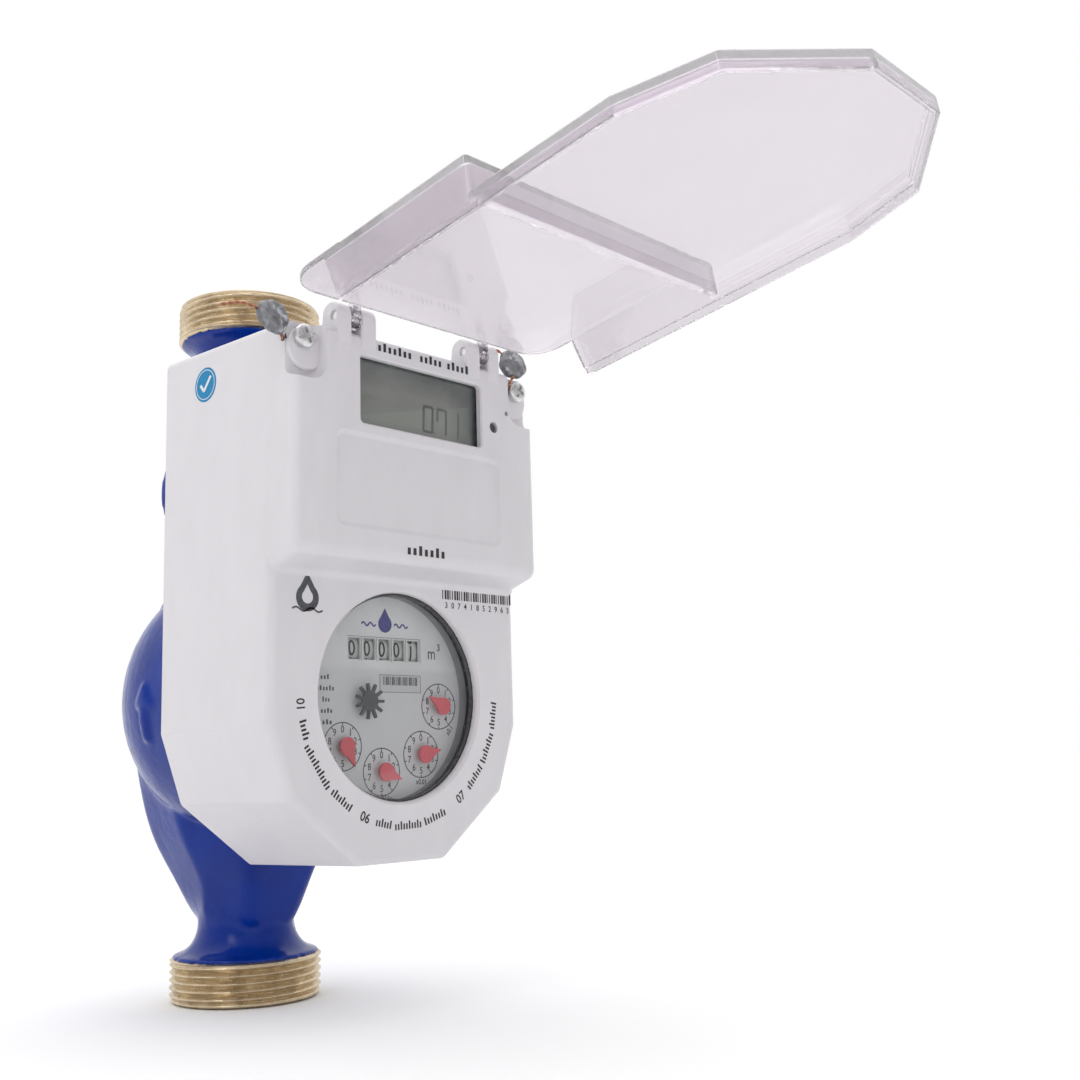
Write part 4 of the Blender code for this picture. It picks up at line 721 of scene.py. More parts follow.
def make_cover():
    rings = [[(x, HOUSING_BACK_Y, z) for x, z in housing_outline(HOUSING_BACK_Y)]]
    for depth, inward in fillet(EDGE_RADIUS):
        rings.append([(x, FACE_Y + depth, z) for x, z in housing_outline(FACE_Y + depth, inward)])
    cover = lofted(rings)

    panel = rounded(rectangle(-HOUSING_HALF, HOUSING_HALF, PANEL_BOTTOM, HOUSING_TOP - 0.3)[::-1], 3.0)
    cove = [(FACE_Y + 3, 0.0), *[(FACE_Y - 2.6 + 2.6 * math.cos(a), 2.6 * (1 - math.sin(a)))
                                 for a in (math.radians(15 * k) for k in range(0, 7))]]
    rings = []
    for y, out in cove:
        rings.append([(x, y, lowered(z, -out - 2.0)) for x, z in panel])
    reach = 5.0
    for depth, inward in fillet(EDGE_RADIUS, 7):
        y = PANEL_Y + depth
        drop = reach * (1 - math.cos(math.asin(1 - depth / EDGE_RADIUS))) if depth < EDGE_RADIUS else 0.0
        outline = inset(panel, inward) if inward > 1e-6 else panel
        rings.append([(x, y, lowered(z, drop * 0.5)) for x, z in outline])
    cover = fuse(cover, lofted(rings))

    notches = []
    for side in (-1, 1):
        inner, outer = side * NOTCH_X, side * (HOUSING_HALF + 12)
        outline = rectangle(min(inner, outer), max(inner, outer), NOTCH_Z, HOUSING_TOP + 12)
        outline = rounded(outline, 5.0, 6, (0,) if side > 0 else (1,))
        rings = [[(x, PANEL_Y - 2, z) for x, z in inset(outline, -0.8)]]
        for k in range(6):
            a = math.pi / 2 * k / 5
            y = NOTCH_FLOOR - 3.0 * (1 - math.sin(a))
            rings.append([(x, y, z) for x, z in inset(outline, 3.0 * (1 - math.cos(a)))])
        notches.append(lofted(rings))
    cover = cut(cover, *notches)
    additions = []
    for side in (-1, 1):
        additions.append(rod(6.3, NOTCH_FLOOR - 1.4, NOTCH_FLOOR + 2.5, side * (SCREW_X - 1.3), SCREW_Z - 3.0,
                             soft=0.5))
        additions += ears(side)
    cover = fuse(cover, *additions)

    hollow = [[(x, y, z) for x, z in housing_outline(y, WALL, 1.0, 2)]
              for y in (HOUSING_BACK_Y + 1, FACE_Y + WALL)]
    inside = HOUSING_HALF - WALL
    spaces = [(rectangle(-inside, inside, PANEL_BOTTOM + 2 * WALL, NOTCH_Z - WALL), PANEL_Y + WALL),
              (rectangle(WALL - NOTCH_X, NOTCH_X - WALL, PANEL_BOTTOM + 3 * WALL, HOUSING_TOP - WALL),
               PANEL_Y + WALL),
              (rectangle(-inside, inside, NOTCH_Z - 2 * WALL, HOUSING_TOP - WALL), NOTCH_FLOOR + WALL)]
    rooms = [prism(outline, front, FACE_Y + WALL + 1 + 0.5 * i) for i, (outline, front) in enumerate(spaces)]
    cover = cut(cover, lofted(hollow), *rooms)

    tools = [turned([(0, FACE_Y - 1), (DIAL_OPENING + 1.9, FACE_Y - 1), (DIAL_OPENING + 0.3, FACE_Y + 0.6),
                     (DIAL_OPENING, FACE_Y + 1.2), (DIAL_OPENING, FACE_Y + WALL + 1), (0, FACE_Y + WALL + 1)],
                    (0, 0, AXIS_Z), steps=128)]
    glass = rounded(rectangle(-LCD_HALF, LCD_HALF, *LCD_Z), 1.2)
    tools.append(lofted([[(x, y, z) for x, z in inset(glass, -grow)]
                         for y, grow in ((PANEL_Y - 1, 1.5), (PANEL_Y + 0.35, 0.15), (PANEL_Y + 0.6, 0.0),
                                         (PANEL_Y + WALL + 1, 0.0))]))
    label = rounded(rectangle(-31.5, 29.9, 139.0, 163.6), 1.5)
    tools.append(lofted([[(x, y, z) for x, z in inset(label, -grow)]
                         for y, grow in ((PANEL_Y - 1, 2.6), (PANEL_Y + 0.1, 1.5), (PANEL_Y + 0.6, 0.5),
                                         (PANEL_Y + 0.75, 0.0))]))
    for x, z, radius in (BUTTON, PINHOLE):
        tools.append(rod(radius, PANEL_Y - 1, PANEL_Y + WALL + 1, x, z, 32))
    for side in (-1, 1):
        tools.append(rod(1.5, PANEL_Y - 1, NOTCH_FLOOR + WALL + 1, side * SCREW_X, SCREW_Z, 32))
    tools.append(turned([(0, -52), (1.0, -52), (1.0, -45), (0, -45)], (0, -84.2, 189.2), "X", 24))
    tools.append(rod(1.0, NOTCH_FLOOR - 3, NOTCH_FLOOR + WALL + 1, 38.1, 189.2, 24))
    for side in (-1, 1):
        for near in (EAR_INNER, EAR_OUTER):
            low, high = sorted((side * (near - 0.7), side * (near + 0.7)))
            ring = [(0, low), (1.5, low), (1.5, high), (0, high)]
            tools.append(turned(ring, (0, HINGE[1], HINGE[2]), "X", 28))
    cover = cut(cover, *tools)
    made = finished("cover_shell", cover, "white_plastic", replaces=("front_cover",), sharp=30)
    weighted(made)


def lowered(z, lift):
    """Raise the panel's lower edge by lift, fading out over a short height."""
    level = PANEL_BOTTOM + 9
    return z + lift * max(0.0, (level - z) / 9) if z < level else z


def ears(side):
    """Hinge ears with round tops and a slot between them for the lid's tongue."""
    slot = TONGUE_WIDTH / 2 + 0.3
    base = HOUSING_TOP - 5
    middle_y, middle_z, radius = HINGE[1] + 1.5, HINGE[2] + 0.6, 3.8
    arc = [(middle_y - radius * math.cos(math.radians(a)), middle_z + radius * math.sin(math.radians(a)))
           for a in range(0, 181, 12)]
    outline = [(HINGE[1] - 2.3, base), *arc, (HINGE[1] + 6.6, base)]
    made = []
    for near, far in ((EAR_INNER, TONGUE_CENTRE - slot), (TONGUE_CENTRE + slot, EAR_OUTER)):
        low, high = sorted((side * near, side * far))
        soft = 0.45
        rings = [[(x, y, z) for y, z in inset(outline, into)]
                 for x, into in ((low, soft), (low + soft, 0.0), (high - soft, 0.0), (high, soft))]
        made.append(lofted(rings))
    low, high = sorted((side * (EAR_INNER + 0.5), side * (EAR_OUTER - 0.5)))
    block = [(HINGE[1] + 2.8, base), (HINGE[1] + 2.8, HINGE[2] - 1.0), (HINGE[1] + 5.0, HINGE[2] - 1.0),
             (HINGE[1] + 6.4, base)]
    made.append(prism(block, low, high, "X"))
    return made


def make_screws():
    for side, name in ((-1, "left"), (1, "right")):
        x, z = side * SCREW_X, SCREW_Z
        seat = NOTCH_FLOOR - 1.4
        dome = [(SCREW_HEAD * math.cos(a), seat - 1.4 - 1.0 * math.sin(a))
                for a in (math.radians(10 * k) for k in range(9, -1, -1))]
        dome[0] = (0, dome[0][1])
        head = turned([*dome, (SCREW_HEAD, seat - 0.3), (1.2, seat - 0.3), (1.2, seat + 17), (0, seat + 17)],
                      (x, 0, z), steps=64)
        spin = Matrix.Translation((x, 0, z)) @ Matrix.Rotation(math.radians(24 * side), 4, "Y")
        tools = []
        for half, reach in ((0.55, 2.3), (2.3, 0.55), (3.6, 0.35)):
            depth = seat - 1.2 if reach != 0.35 else seat - 1.8
            tool = prism(rectangle(-half, half, -reach, reach), seat - 4, depth)
            tool.transform(spin)
            tools.append(tool)
        finished(f"cover_screw_{name}", cut(head, *tools), "steel", replaces=(f"housing_screw_{name}",),
                 sharp=28)


# ==== register ===============================================================================

def make_register():
    centre = (0, 0, AXIS_Z)
    inner = CASE_RADIUS - CASE_WALL
    finished("register_wall", turned(
        [(0, -36.6), (CASE_RADIUS, -36.6), (CASE_RADIUS, -72.8), (CASE_RADIUS - 0.3, -73.0), (inner, -73.0),
         (inner, -38.6), (0, -38.6)], centre), "dark_plastic", replaces=("register_case",))
    finished("inner_band", turned(
        [(inner - 0.15, -69.9), (inner - 0.15, -73.0), (inner - 0.75, -73.0), (inner - 0.75, -69.9)], centre,
        steps=128), "case_inner")
    finished("register_glass", turned(
        [(0, LENS_Y[0]), (CASE_RADIUS - 0.6, LENS_Y[0]), (CASE_RADIUS - 0.1, LENS_Y[0] + 0.4),
         (CASE_RADIUS - 0.1, LENS_Y[1]), (0, LENS_Y[1])], centre, steps=128), "lens",
        replaces=("register_lens",))
    skirt, lip = CASE_RADIUS + 0.4, DIAL_OPENING - 0.8
    finished("bezel", turned(
        [(skirt, -64.0), (skirt + 1.3, -64.0), (skirt + 1.3, -75.6), (skirt + 0.8, -76.1), (lip + 0.5, -76.1),
         (lip, -75.6), (lip, -74.9), (skirt, -74.9)], centre, steps=128), "bezel",
        replaces=("bezel_ring",))
    gasket = DIAL_OPENING + 0.1
    band = [(gasket, -76.5), (gasket + 1.2, -76.5), (gasket + 1.2, -76.15), (gasket, -76.15)]
    finished("dial_gasket", turned(band, centre, steps=128), "steel")

    holes = [rod(0.85, DIAL_Y - 1, DIAL_Y + 2, x, z, 20) for x, z in ((-7.9, 90.3), *SPOTS)]
    wide, tall = WINDOW_HALF
    for x in drum_places():
        window = rounded(rectangle(x - wide, x + wide, DRUM_Z - tall, DRUM_Z + tall), 0.25, 2)
        holes.append(lofted([[(a, y, b) for a, b in inset(window, -grow)]
                             for y, grow in ((DIAL_Y - 1, 0.45), (DIAL_Y + 0.35, 0.0), (DIAL_Y + 2, 0.0))]))
    plate = turned([(0, DIAL_Y), (inner - 0.4, DIAL_Y), (inner - 0.3, DIAL_Y + 0.1),
                    (inner - 0.3, DIAL_Y + 0.8), (0, DIAL_Y + 0.8)], centre, steps=128)
    finished("dial_sheet", cut(plate, *holes), "dial_print", replaces=("dial_plate",), sharp=20)
    make_dial_print()
    make_drum_figures()


def drum_places():
    """How far along X the middle of each drum is, from its packed box."""
    return [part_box(f"drum_{i + 1}")[0].x / MM + DRUM_WIDTH / 2 for i in range(5)]


def stroke(points, width, y):
    """A thin printed line through points."""
    made = []
    for a, b in zip(points, points[1:]):
        along = (Vector(b) - Vector(a)).normalized()
        side = Vector((-along.y, along.x)) * width / 2
        outline = [Vector(a) + side, Vector(b) + side, Vector(b) - side, Vector(a) - side]
        made.append(prism([tuple(p) for p in outline], y - INK, y + 0.01))
    return gathered(*made)


def hoop(radius, width, x, z, y):
    inner, outer = radius - width / 2, radius + width / 2
    profile = [(inner, y - INK), (outer, y - INK), (outer, y + 0.01), (inner, y + 0.01)]
    return turned(profile, (x, 0, z), steps=64)


def figures(text, size, x, z, y, turn=0.0, squeeze=1.0, weight=0.0):
    """Figures facing the front, centred on (x, z); turn is degrees clockwise."""
    curve = bpy.data.curves.new("figures", "FONT")
    curve.body = text
    curve.size = size
    curve.align_x = "CENTER"
    curve.align_y = "CENTER"
    curve.extrude = INK / 2
    curve.offset = weight
    curve.resolution_u = 4
    made = bpy.data.objects.new("figures", curve)
    bpy.context.scene.collection.objects.link(made)
    depsgraph = bpy.context.evaluated_depsgraph_get()
    bm = bmesh.new()
    bm.from_mesh(made.evaluated_get(depsgraph).to_mesh())
    bpy.data.objects.remove(made)
    bpy.data.curves.remove(curve)
    bm.transform(Matrix.Translation((x, y - INK / 2, z)) @ Matrix.Rotation(math.radians(turn), 4, "Y")
                 @ Matrix.Rotation(math.pi / 2, 4, "X") @ Matrix.Diagonal((squeeze, 1, 1, 1)))
    return closed(bm)


def around(x, z, radius, degrees):
    """The point at radius from (x, z), degrees clockwise from straight up."""
    a = math.radians(degrees)
    return x + radius * math.sin(a), z + radius * math.cos(a)


def make_dial_print():
    y = DIAL_Y
    parts = []
    ring, tick = 6.9, 0.8
    leans = (38, 20, 2, -52)
    below = {2: (0.0, -ring - 1.3), 3: (4.4, -ring - 0.4)}   # multipliers printed under their dials
    for i, (x, z) in enumerate(SPOTS):
        parts.append(hoop(ring, 0.3, x, z, y))
        for k in range(10):
            angle = 36 * k
            parts.append(stroke([around(x, z, ring - tick, angle), around(x, z, ring, angle)], 0.3, y))
            fx, fz = around(x, z, ring - 2.0, angle)
            parts.append(figures(str(k), 2.9, fx, fz, y, squeeze=0.85, weight=0.03))
        outward = math.atan2(z - AXIS_Z, x) + 0.35
        reach = ring + 1.2
        aside, up = below.get(i, (reach * math.cos(outward), reach * math.sin(outward)))
        multiplier = "x0." + "0" * (3 - i) + "1"
        parts.append(figures(multiplier, 2.3, x + aside, z + up, y, leans[i], 0.85, 0.03))
    parts.append(figures("m", 5.2, 18.6, 105.2, y, squeeze=0.85, weight=0.03))
    parts.append(figures("3", 3.0, 21.6, 107.2, y, squeeze=0.85, weight=0.05))
    for x in drum_places():
        parts.append(stroke([(x - 2.7, 109.4), (x + 2.7, 109.4), (x + 2.7, 102.2)], 0.12, y))
    for row, width in enumerate((3.4, 6.6, 3.0, 4.4, 3.8)):
        parts.append(greek(-22.6 + row * 0.2, 97.0 - row * 3.2, width, 1.5, y))
    finished("dial_print_dark", gathered(*parts), "grey_ink", sharp=50)

    label = rounded(rectangle(-2.4, 14.0, 93.0, 98.5), 0.2, 2)
    finished("dial_label", prism(label, y - INK * 1.5, y + 0.01), "label_white")
    frame_line = stroke([(-2.2, 93.2), (13.8, 93.2), (13.8, 98.3), (-2.2, 98.3), (-2.2, 93.2)], 0.12,
                        y - INK * 1.5)
    finished("dial_label_print", gathered(frame_line, stripes(-1.0, 12.6, 95.3, 97.8, y - INK * 1.5, 24, 3)),
             "grey_ink", sharp=50)
    drop = prism(drop_outline(0.0, 114.3, 2.6), y - INK, y + 0.01)
    finished("dial_emblem", gathered(drop, wave(-9.0, -3.6, 113.2, y), wave(3.6, 9.0, 113.2, y)),
             "blue_ink", sharp=50)


def greek(x, z, width, height, y, turn=0.0, count=None):
    """A row of short bars that stands for a word."""
    count = count or max(2, round(width / 1.1))
    pitch = width / count
    parts = []
    for k in range(count):
        tall = height * (0.95 if (k * 7 + round(width * 3)) % 3 == 0 else 0.68)
        left = -width / 2 + k * pitch
        bar = prism(rounded(rectangle(left + pitch * 0.2, left + pitch * 0.72, -height * 0.34,
                                      -height * 0.34 + tall), 0.1, 2), y - INK, y + 0.01)
        parts.append(bar)
    bm = gathered(*parts)
    bm.transform(Matrix.Translation((x, 0, z)) @ Matrix.Rotation(math.radians(turn), 4, "Y"))
    return bm


def stripes(left, right, low, high, y, count, seed):
    """Upright bars of uneven width."""
    parts = []
    place = left
    pitch = (right - left) / count
    for k in range(count):
        wide = pitch * (0.36 + 0.16 * ((k * seed + k * k) % 4))
        parts.append(prism(rectangle(place, min(place + wide, right), low, high), y - INK, y + 0.01))
        place += pitch
    return gathered(*parts)


def drop_outline(x, z, radius):
    """A water drop: a circle drawn up to a point."""
    points = []
    for k in range(28):
        a = math.radians(-230 + 280 * k / 27)
        points.append((x + radius * math.cos(a), z - radius * 0.3 + radius * math.sin(a)))
    points.append((x, z + radius * 1.55))
    return points


def wave(left, right, z, y):
    points = [(left + (right - left) * k / 16, z + 0.55 * math.sin(k / 16 * 4 * math.pi)) for k in range(17)]
    return stroke(points, 0.5, y)


def make_drum_figures():
    """Ten figures round each drum, set so that the drum reads its figure at rest."""
    for i in range(5):
        node = f"drum_{i + 1}"
        lo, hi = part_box(node)
        centre_x, centre_y = (lo.x + hi.x) / 2 / MM, (lo.y + hi.y) / 2 / MM
        centre_z = (lo.z + hi.z) / 2 / MM
        shown = 1 if i == 0 else 0
        parts = []
        for figure in range(10):
            bm = figures(str(figure), 6.6, 0, 0, 0, squeeze=0.8, weight=0.07)
            step = math.radians(36) * (figure - shown + DRUM_TURNS[i])
            for k in range(-4, 5):
                bmesh.ops.bisect_plane(bm, geom=[*bm.verts, *bm.edges, *bm.faces],
                                       plane_co=(0, 0, PRINT_STRIP * k + 0.01), plane_no=(0, 0, 1))
            for vert in bm.verts:
                angle = vert.co.z / DRUM_RADIUS - step
                radius = DRUM_RADIUS + INK - (vert.co.y + INK)
                vert.co = (centre_x + vert.co.x, centre_y - radius * math.cos(angle),
                           centre_z + radius * math.sin(angle))
            parts.append(bm)
        finished(f"{node}_figures", gathered(*parts), "ink", f"drum_set_{i + 1}", sharp=50)


# ==== display and face print =================================================================

SEGMENTS = {
    "a": ((0, 2), (1, 2)), "b": ((1, 2), (1, 1)), "c": ((1, 1), (1, 0)), "d": ((0, 0), (1, 0)),
    "e": ((0, 0), (0, 1)), "f": ((0, 1), (0, 2)), "g": ((0, 1), (1, 1)),
}
LIT = {"0": "abcdef", "7": "abcf", "1": "bc"}


def make_display():
    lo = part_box("lcd_module")[0]
    y = lo.y / MM
    parts = []
    for text, left in (("0", 2.6), ("7", 8.2), ("1", 13.4)):
        for name in LIT[text]:
            ends = [(left + a * 3.6 + b * 0.15, 170.6 + b * 3.9) for a, b in SEGMENTS[name]]
            parts.append(stroke(ends, 0.8, y))
    parts.append(stroke([(6.9, 170.6), (7.3, 170.6)], 0.6, y))
    for k in range(3):
        parts.append(stroke([(16.6 + k * 1.6, 169.6), (16.6 + k * 1.6, 171.0)], 0.25, y))
    finished("display_segments", gathered(*parts), "segment", sharp=50)


def make_face_print():
    y = PANEL_Y
    title = gathered(greek(-11.2, 191.5, 13.6, 2.7, y, count=7), greek(3.0, 191.5, 9.4, 2.7, y, count=5),
                     greek(14.2, 191.5, 9.6, 2.7, y, count=5))
    finished("title_bars", title, "ink", sharp=50)
    finished("model_bars", greek(0, 132.6, 15.5, 3.0, y, count=7), "ink", sharp=50)
    y = FACE_Y
    bars = stripes(16.2, 46.4, 121.4, 126.2, y, 30, 5)
    digits = gathered(*[figures(str((7 * k + 3) % 10), 2.6, 17.8 + 2.68 * k, 119.5, y, squeeze=0.9,
                                weight=0.03)
                        for k in range(11)])
    finished("serial_stripes", gathered(bars, digits), "ink", sharp=50)
    outer = drop_outline(-34.8, 119.4, 3.9)
    inner = drop_outline(-34.8, 119.0, 1.9)
    drop = cut(prism(outer, y - INK, y + 0.01), prism(inner, y - 1, y + 1))
    ripple = gathered(drop, wave(-40.0, -29.6, 114.9, y))
    finished("face_emblem", ripple, "grey_ink", sharp=50)
    captions = []
    for number, start, end, words in (("01", 211, 268, (5, 11, 7)), ("06", 154, 206, (5, 8, 7)),
                                      ("07", 91, 146, (7, 8, 7))):
        radius = 37.4
        arc = end - start
        captions.append(figures(number, 3.9, *around(0, AXIS_Z, radius, end - 2.5), y,
                                end - 2.5 + 180, 0.9, 0.06))
        share = (arc - 8) / sum(words)
        place = end - 8
        for word in words:
            middle = place - word * share / 2
            wide = math.radians(word * share) * radius - 1.0
            captions.append(greek(*around(0, AXIS_Z, radius, middle), wide, 2.5, y, middle + 180))
            place -= word * share
    finished("caption_print", gathered(*captions), "ink", sharp=50)


def make_sticker():
    """Round inspection sticker with a tick on the housing's left side."""
    y0, z0, radius = -47.9, 183.6, 5.2
    side_x = -(HOUSING_HALF + DRAFT * (y0 - FACE_Y))
    lean = Matrix.Translation((side_x, y0, z0)) @ Matrix.Rotation(math.atan(DRAFT), 4, "Z")
    disc = turned([(0, -0.08), (radius - 0.05, -0.08), (radius, -0.03), (radius, 0.02), (0, 0.02)], axis="X")
    disc.transform(lean)
    finished("inspection_sticker", disc, "sticker_blue")
    tick = stroke([(-2.4, 0.2), (-0.7, -1.9), (2.6, 2.2)], 0.9, 0)
    band = hoop(4.4, 0.22, 0, 0, 0)
    mark = gathered(tick, band)
    mark.transform(lean @ Matrix.Translation((-0.08, 0, 0)) @ Matrix.Rotation(-math.pi / 2, 4, "Z"))
    finished("sticker_print", mark, "label_white", sharp=50)


# ==== lid ====================================================================================

def lid_rings(outline, corner, heights, only=None):
    """Rings of a closed lid outline; heights are (height out from the face, inset) pairs."""
    rings = []
    for height, into in heights:
        points = rounded(inset(outline, into), max(0.3, corner - into), 6, only)
        rings.append([(x, HINGE[1] - height, HINGE[2] - u) for x, u in points])
    return rings


def lid_octagon(start):
    right = [(LID_HALF, start), *LID_CHIN]
    return [*right, *[(-x, u) for x, u in reversed(right)]]


def top_fillet(high, radius):
    """Heights and insets that round an upper edge."""
    steps = 4
    return [(high - radius * (1 - math.sin(a)), radius * (1 - math.cos(a)))
            for a in (math.pi / 2 * k / steps for k in range(steps + 1))]


def make_lid():
    soft = 1.0
    overlap = 8.0
    low = lofted(lid_rings(lid_octagon(LID_STEP - overlap), 1.8,
                           [(LID_FREE_EDGE, 0.3), (LID_FREE_EDGE + 0.3, 0.0), *top_fillet(LID_LOW, soft)]))

    def box_rings(start_low, start_high, into, heights, half=LID_HALF, end=LID_STEP + LID_WALL):
        rings = []
        for height, more in heights:
            share = (height - LID_FREE_EDGE) / (LID_HIGH - LID_FREE_EDGE)
            start = start_low + (start_high - start_low) * share + into
            reach = half - into - more
            outline = rounded([(reach, start + more), (reach, end - into - more), (-reach, end - into - more),
                               (-reach, start + more)], 1.6 - more, 6)
            rings.append([(x, HINGE[1] - height, HINGE[2] - u) for x, u in outline])
        return rings

    upper = lofted(box_rings(*LID_WALL_START, 0.0, [(LID_FREE_EDGE, 0.3), (LID_FREE_EDGE + 0.3, 0.0),
                                                    *top_fillet(LID_HIGH, soft)]))
    plate = [(LID_HALF, LID_START), (LID_HALF, LID_WALL_START[1] + overlap),
             (-LID_HALF, LID_WALL_START[1] + overlap), (-LID_HALF, LID_START)]
    plate = lofted(lid_rings(plate, 10.0, [(LID_HIGH - LID_WALL, 0.25), (LID_HIGH - LID_WALL + 0.25, 0.0),
                                           (LID_HIGH - 0.5, 0.0), (LID_HIGH - 0.15, 0.15), (LID_HIGH, 0.5)],
                             (0, 3)))
    lid = fuse(low, upper, plate)
    inner = LID_HALF - LID_WALL
    rim = 2.2
    under = []
    for height, wider in ((LID_FREE_EDGE - 1, 0.6), (LID_FREE_EDGE + rim, 0.6),
                          (LID_FREE_EDGE + rim + 0.1, 0.0), (LID_HIGH - LID_WALL - 0.6, 0.0),
                          (LID_HIGH - LID_WALL, -0.6)):
        points = rounded([(inner + wider, LID_STEP), (inner + wider, -4), (-inner - wider, -4),
                          (-inner - wider, LID_STEP)], 1.0, 4)
        under.append([(x, HINGE[1] - height, HINGE[2] - u) for x, u in points])
    start = LID_STEP - overlap / 2 + LID_WALL
    floor = LID_LOW - LID_WALL
    hollow = lid_rings(lid_octagon(start - LID_WALL), 2.2,
                       [(LID_FREE_EDGE - 1, LID_WALL - 0.6), (LID_FREE_EDGE + rim, LID_WALL - 0.6),
                        (LID_FREE_EDGE + rim + 0.1, LID_WALL), (floor - 0.5, LID_WALL),
                        (floor, LID_WALL + 0.5)])
    lid = cut(lid, lofted(under), lofted(hollow))
    tongues = [tongue(side * TONGUE_CENTRE - TONGUE_WIDTH / 2) for side in (-1, 1)]
    lid = fuse(lid, *tongues)
    holes = []
    for side in (-1, 1):
        low_x = side * TONGUE_CENTRE - TONGUE_WIDTH / 2
        holes.append(turned([(0, low_x - 1), (PIN_RADIUS + 0.3, low_x - 1), (PIN_RADIUS + 0.3, low_x + 4),
                             (0, low_x + 4)], (0, HINGE[1], HINGE[2]), "X", 28))
    lid = cut(lid, *holes)
    about = Matrix.Translation((0, HINGE[1], HINGE[2]))
    lid.transform(about @ Matrix.Rotation(-math.radians(LID_OPEN), 4, "X") @ about.inverted())
    made = finished("lid_shell", lid, "clear_plastic", "lid", replaces=("clear_lid",), sharp=28)
    weighted(made)


def tongue(low):
    """A strap from the lid's plate down to an eye round the hinge pin."""
    radius = 2.9
    eye = [(HINGE[1] + radius * math.cos(a), HINGE[2] + radius * math.sin(a))
           for a in (math.radians(d) for d in range(-60, 181, 10))]
    front = HINGE[1] - LID_HIGH
    outline = [*eye, (front + 0.5, HINGE[2] - 1.5), (front + 0.5, HINGE[2] - LID_START - 4),
               (front + LID_WALL, HINGE[2] - LID_START - 4), (front + LID_WALL, HINGE[2] - radius)]
    return prism(outline, low, low + TONGUE_WIDTH, "X")


# ==== seals ==================================================================================

SEALS = {
    "left": {
        "tilt": 25, "at": 3,
        "route": [(-66.5, -82.0, 194.8), (-62.0, -84.8, 195.8), (-58.3, -86.4, 195.0), (-52.5, -86.6, 193.6),
                  (-49.6, -86.0, 191.2), (-48.2, -84.9, 189.2), (-46.2, -84.2, 188.6)],
    },
    "right": {
        "tilt": -20, "at": 2,
        "route": [(34.6, -83.5, 204.2), (37.0, -85.6, 202.8), (41.5, -86.8, 199.2), (40.4, -88.4, 195.6),
                  (38.8, -87.6, 191.6), (38.1, -86.2, 189.3), (38.1, -83.4, 189.1)],
    },
}


def smooth_route(route, steps):
    points = [Vector(p) for p in route]
    padded = [2 * points[0] - points[1], *points, 2 * points[-1] - points[-2]]
    made = []
    for p0, p1, p2, p3 in zip(padded, padded[1:], padded[2:], padded[3:]):
        for k in range(steps):
            t = k / steps
            made.append(0.5 * (2 * p1 + (p2 - p0) * t + (2 * p0 - 5 * p1 + 4 * p2 - p3) * t * t
                               + (3 * p1 - p0 - 3 * p2 + p3) * t ** 3))
    made.append(points[-1])
    return made


def make_seals():
    for name, seal in SEALS.items():
        route = [Vector(point) for point in seal["route"]]
        make_lump(name, route[seal["at"]], seal["tilt"])
        make_twist(name, smooth_route(route, 14))


def make_lump(name, centre, tilt):
    """A pressed lead seal: a thick lens with a crease and a crimp mark on its face."""
    radius, half = 5.0, 2.1
    profile = []
    for k in range(25):
        a = math.pi * (k / 24 - 0.5)
        profile.append((radius * abs(math.cos(a)) ** 0.45, half * math.copysign(abs(math.sin(a)) ** 0.8, a)))
    profile[0] = (0, profile[0][1])
    profile[-1] = (0, profile[-1][1])
    lump = turned(profile, axis="Z", steps=64)
    crease = prism([(-0.35, 1.1), (0.35, 1.1), (0.9, 4.0), (-0.9, 4.0)], -6, 2.0, "Y")
    crease.transform(Matrix.Rotation(math.radians(35), 4, "Z"))
    dent = turned([(0, half - 0.5), (1.9, half - 0.3), (2.3, 4.0), (0, 4.0)], (1.4, 1.0, 0), "Z", 40)
    lump = cut(lump, crease, dent)
    for vert in lump.verts:
        a = math.atan2(vert.co.y, vert.co.x)
        swell = 1 + 0.045 * math.sin(3 * a + centre.x) + 0.03 * math.sin(7 * a)
        vert.co = (vert.co.x * swell, vert.co.y * swell, vert.co.z * (1 + 0.1 * math.sin(2 * a + 1)))
    lump.transform(Matrix.Translation(centre) @ Matrix.Rotation(math.radians(tilt), 4, "Y")
                   @ Matrix.Rotation(math.radians(75), 4, "X"))
    made = finished(f"pressed_seal_{name}", lump, "seal_lead", replaces=(f"lead_seal_{name}",), sharp=70)
    bevel = made.modifiers.new("soft", "BEVEL")
    bevel.width = 0.25 * MM
    bevel.segments = 3
    bevel.limit_method = "ANGLE"
    bevel.angle_limit = math.radians(40)


def make_twist(name, points):
    """Two copper strands twisted round the seal's route."""
    strand, offset, sides = 0.26, 0.24, 8
    turns = 0.55                       # turns for each millimetre
    parts = []
    for start in (0.0, math.pi):
        rings = []
        travelled = 0.0
        for i, point in enumerate(points):
            if i:
                travelled += (point - points[i - 1]).length
            ahead = points[min(i + 1, len(points) - 1)] - points[max(i - 1, 0)]
            turn = ahead.to_track_quat("Z", "Y")
            a = start + travelled * turns * 2 * math.pi / 2
            middle = point + turn @ Vector((offset * math.cos(a), offset * math.sin(a), 0))
            rings.append([tuple(middle + turn @ Vector((x, y, 0))) for x, y in circle(strand, sides)])
        parts.append(lofted(rings))
    finished(f"twisted_wire_{name}", gathered(*parts), "copper", replaces=(f"seal_wire_{name}",), sharp=60)


# ==== carried-over parts =====================================================================

SHOWN = {
    "drum_plastic": [f"drum_{i}" for i in range(1, 6)],
    "star_plastic": ["leak_star"],
}


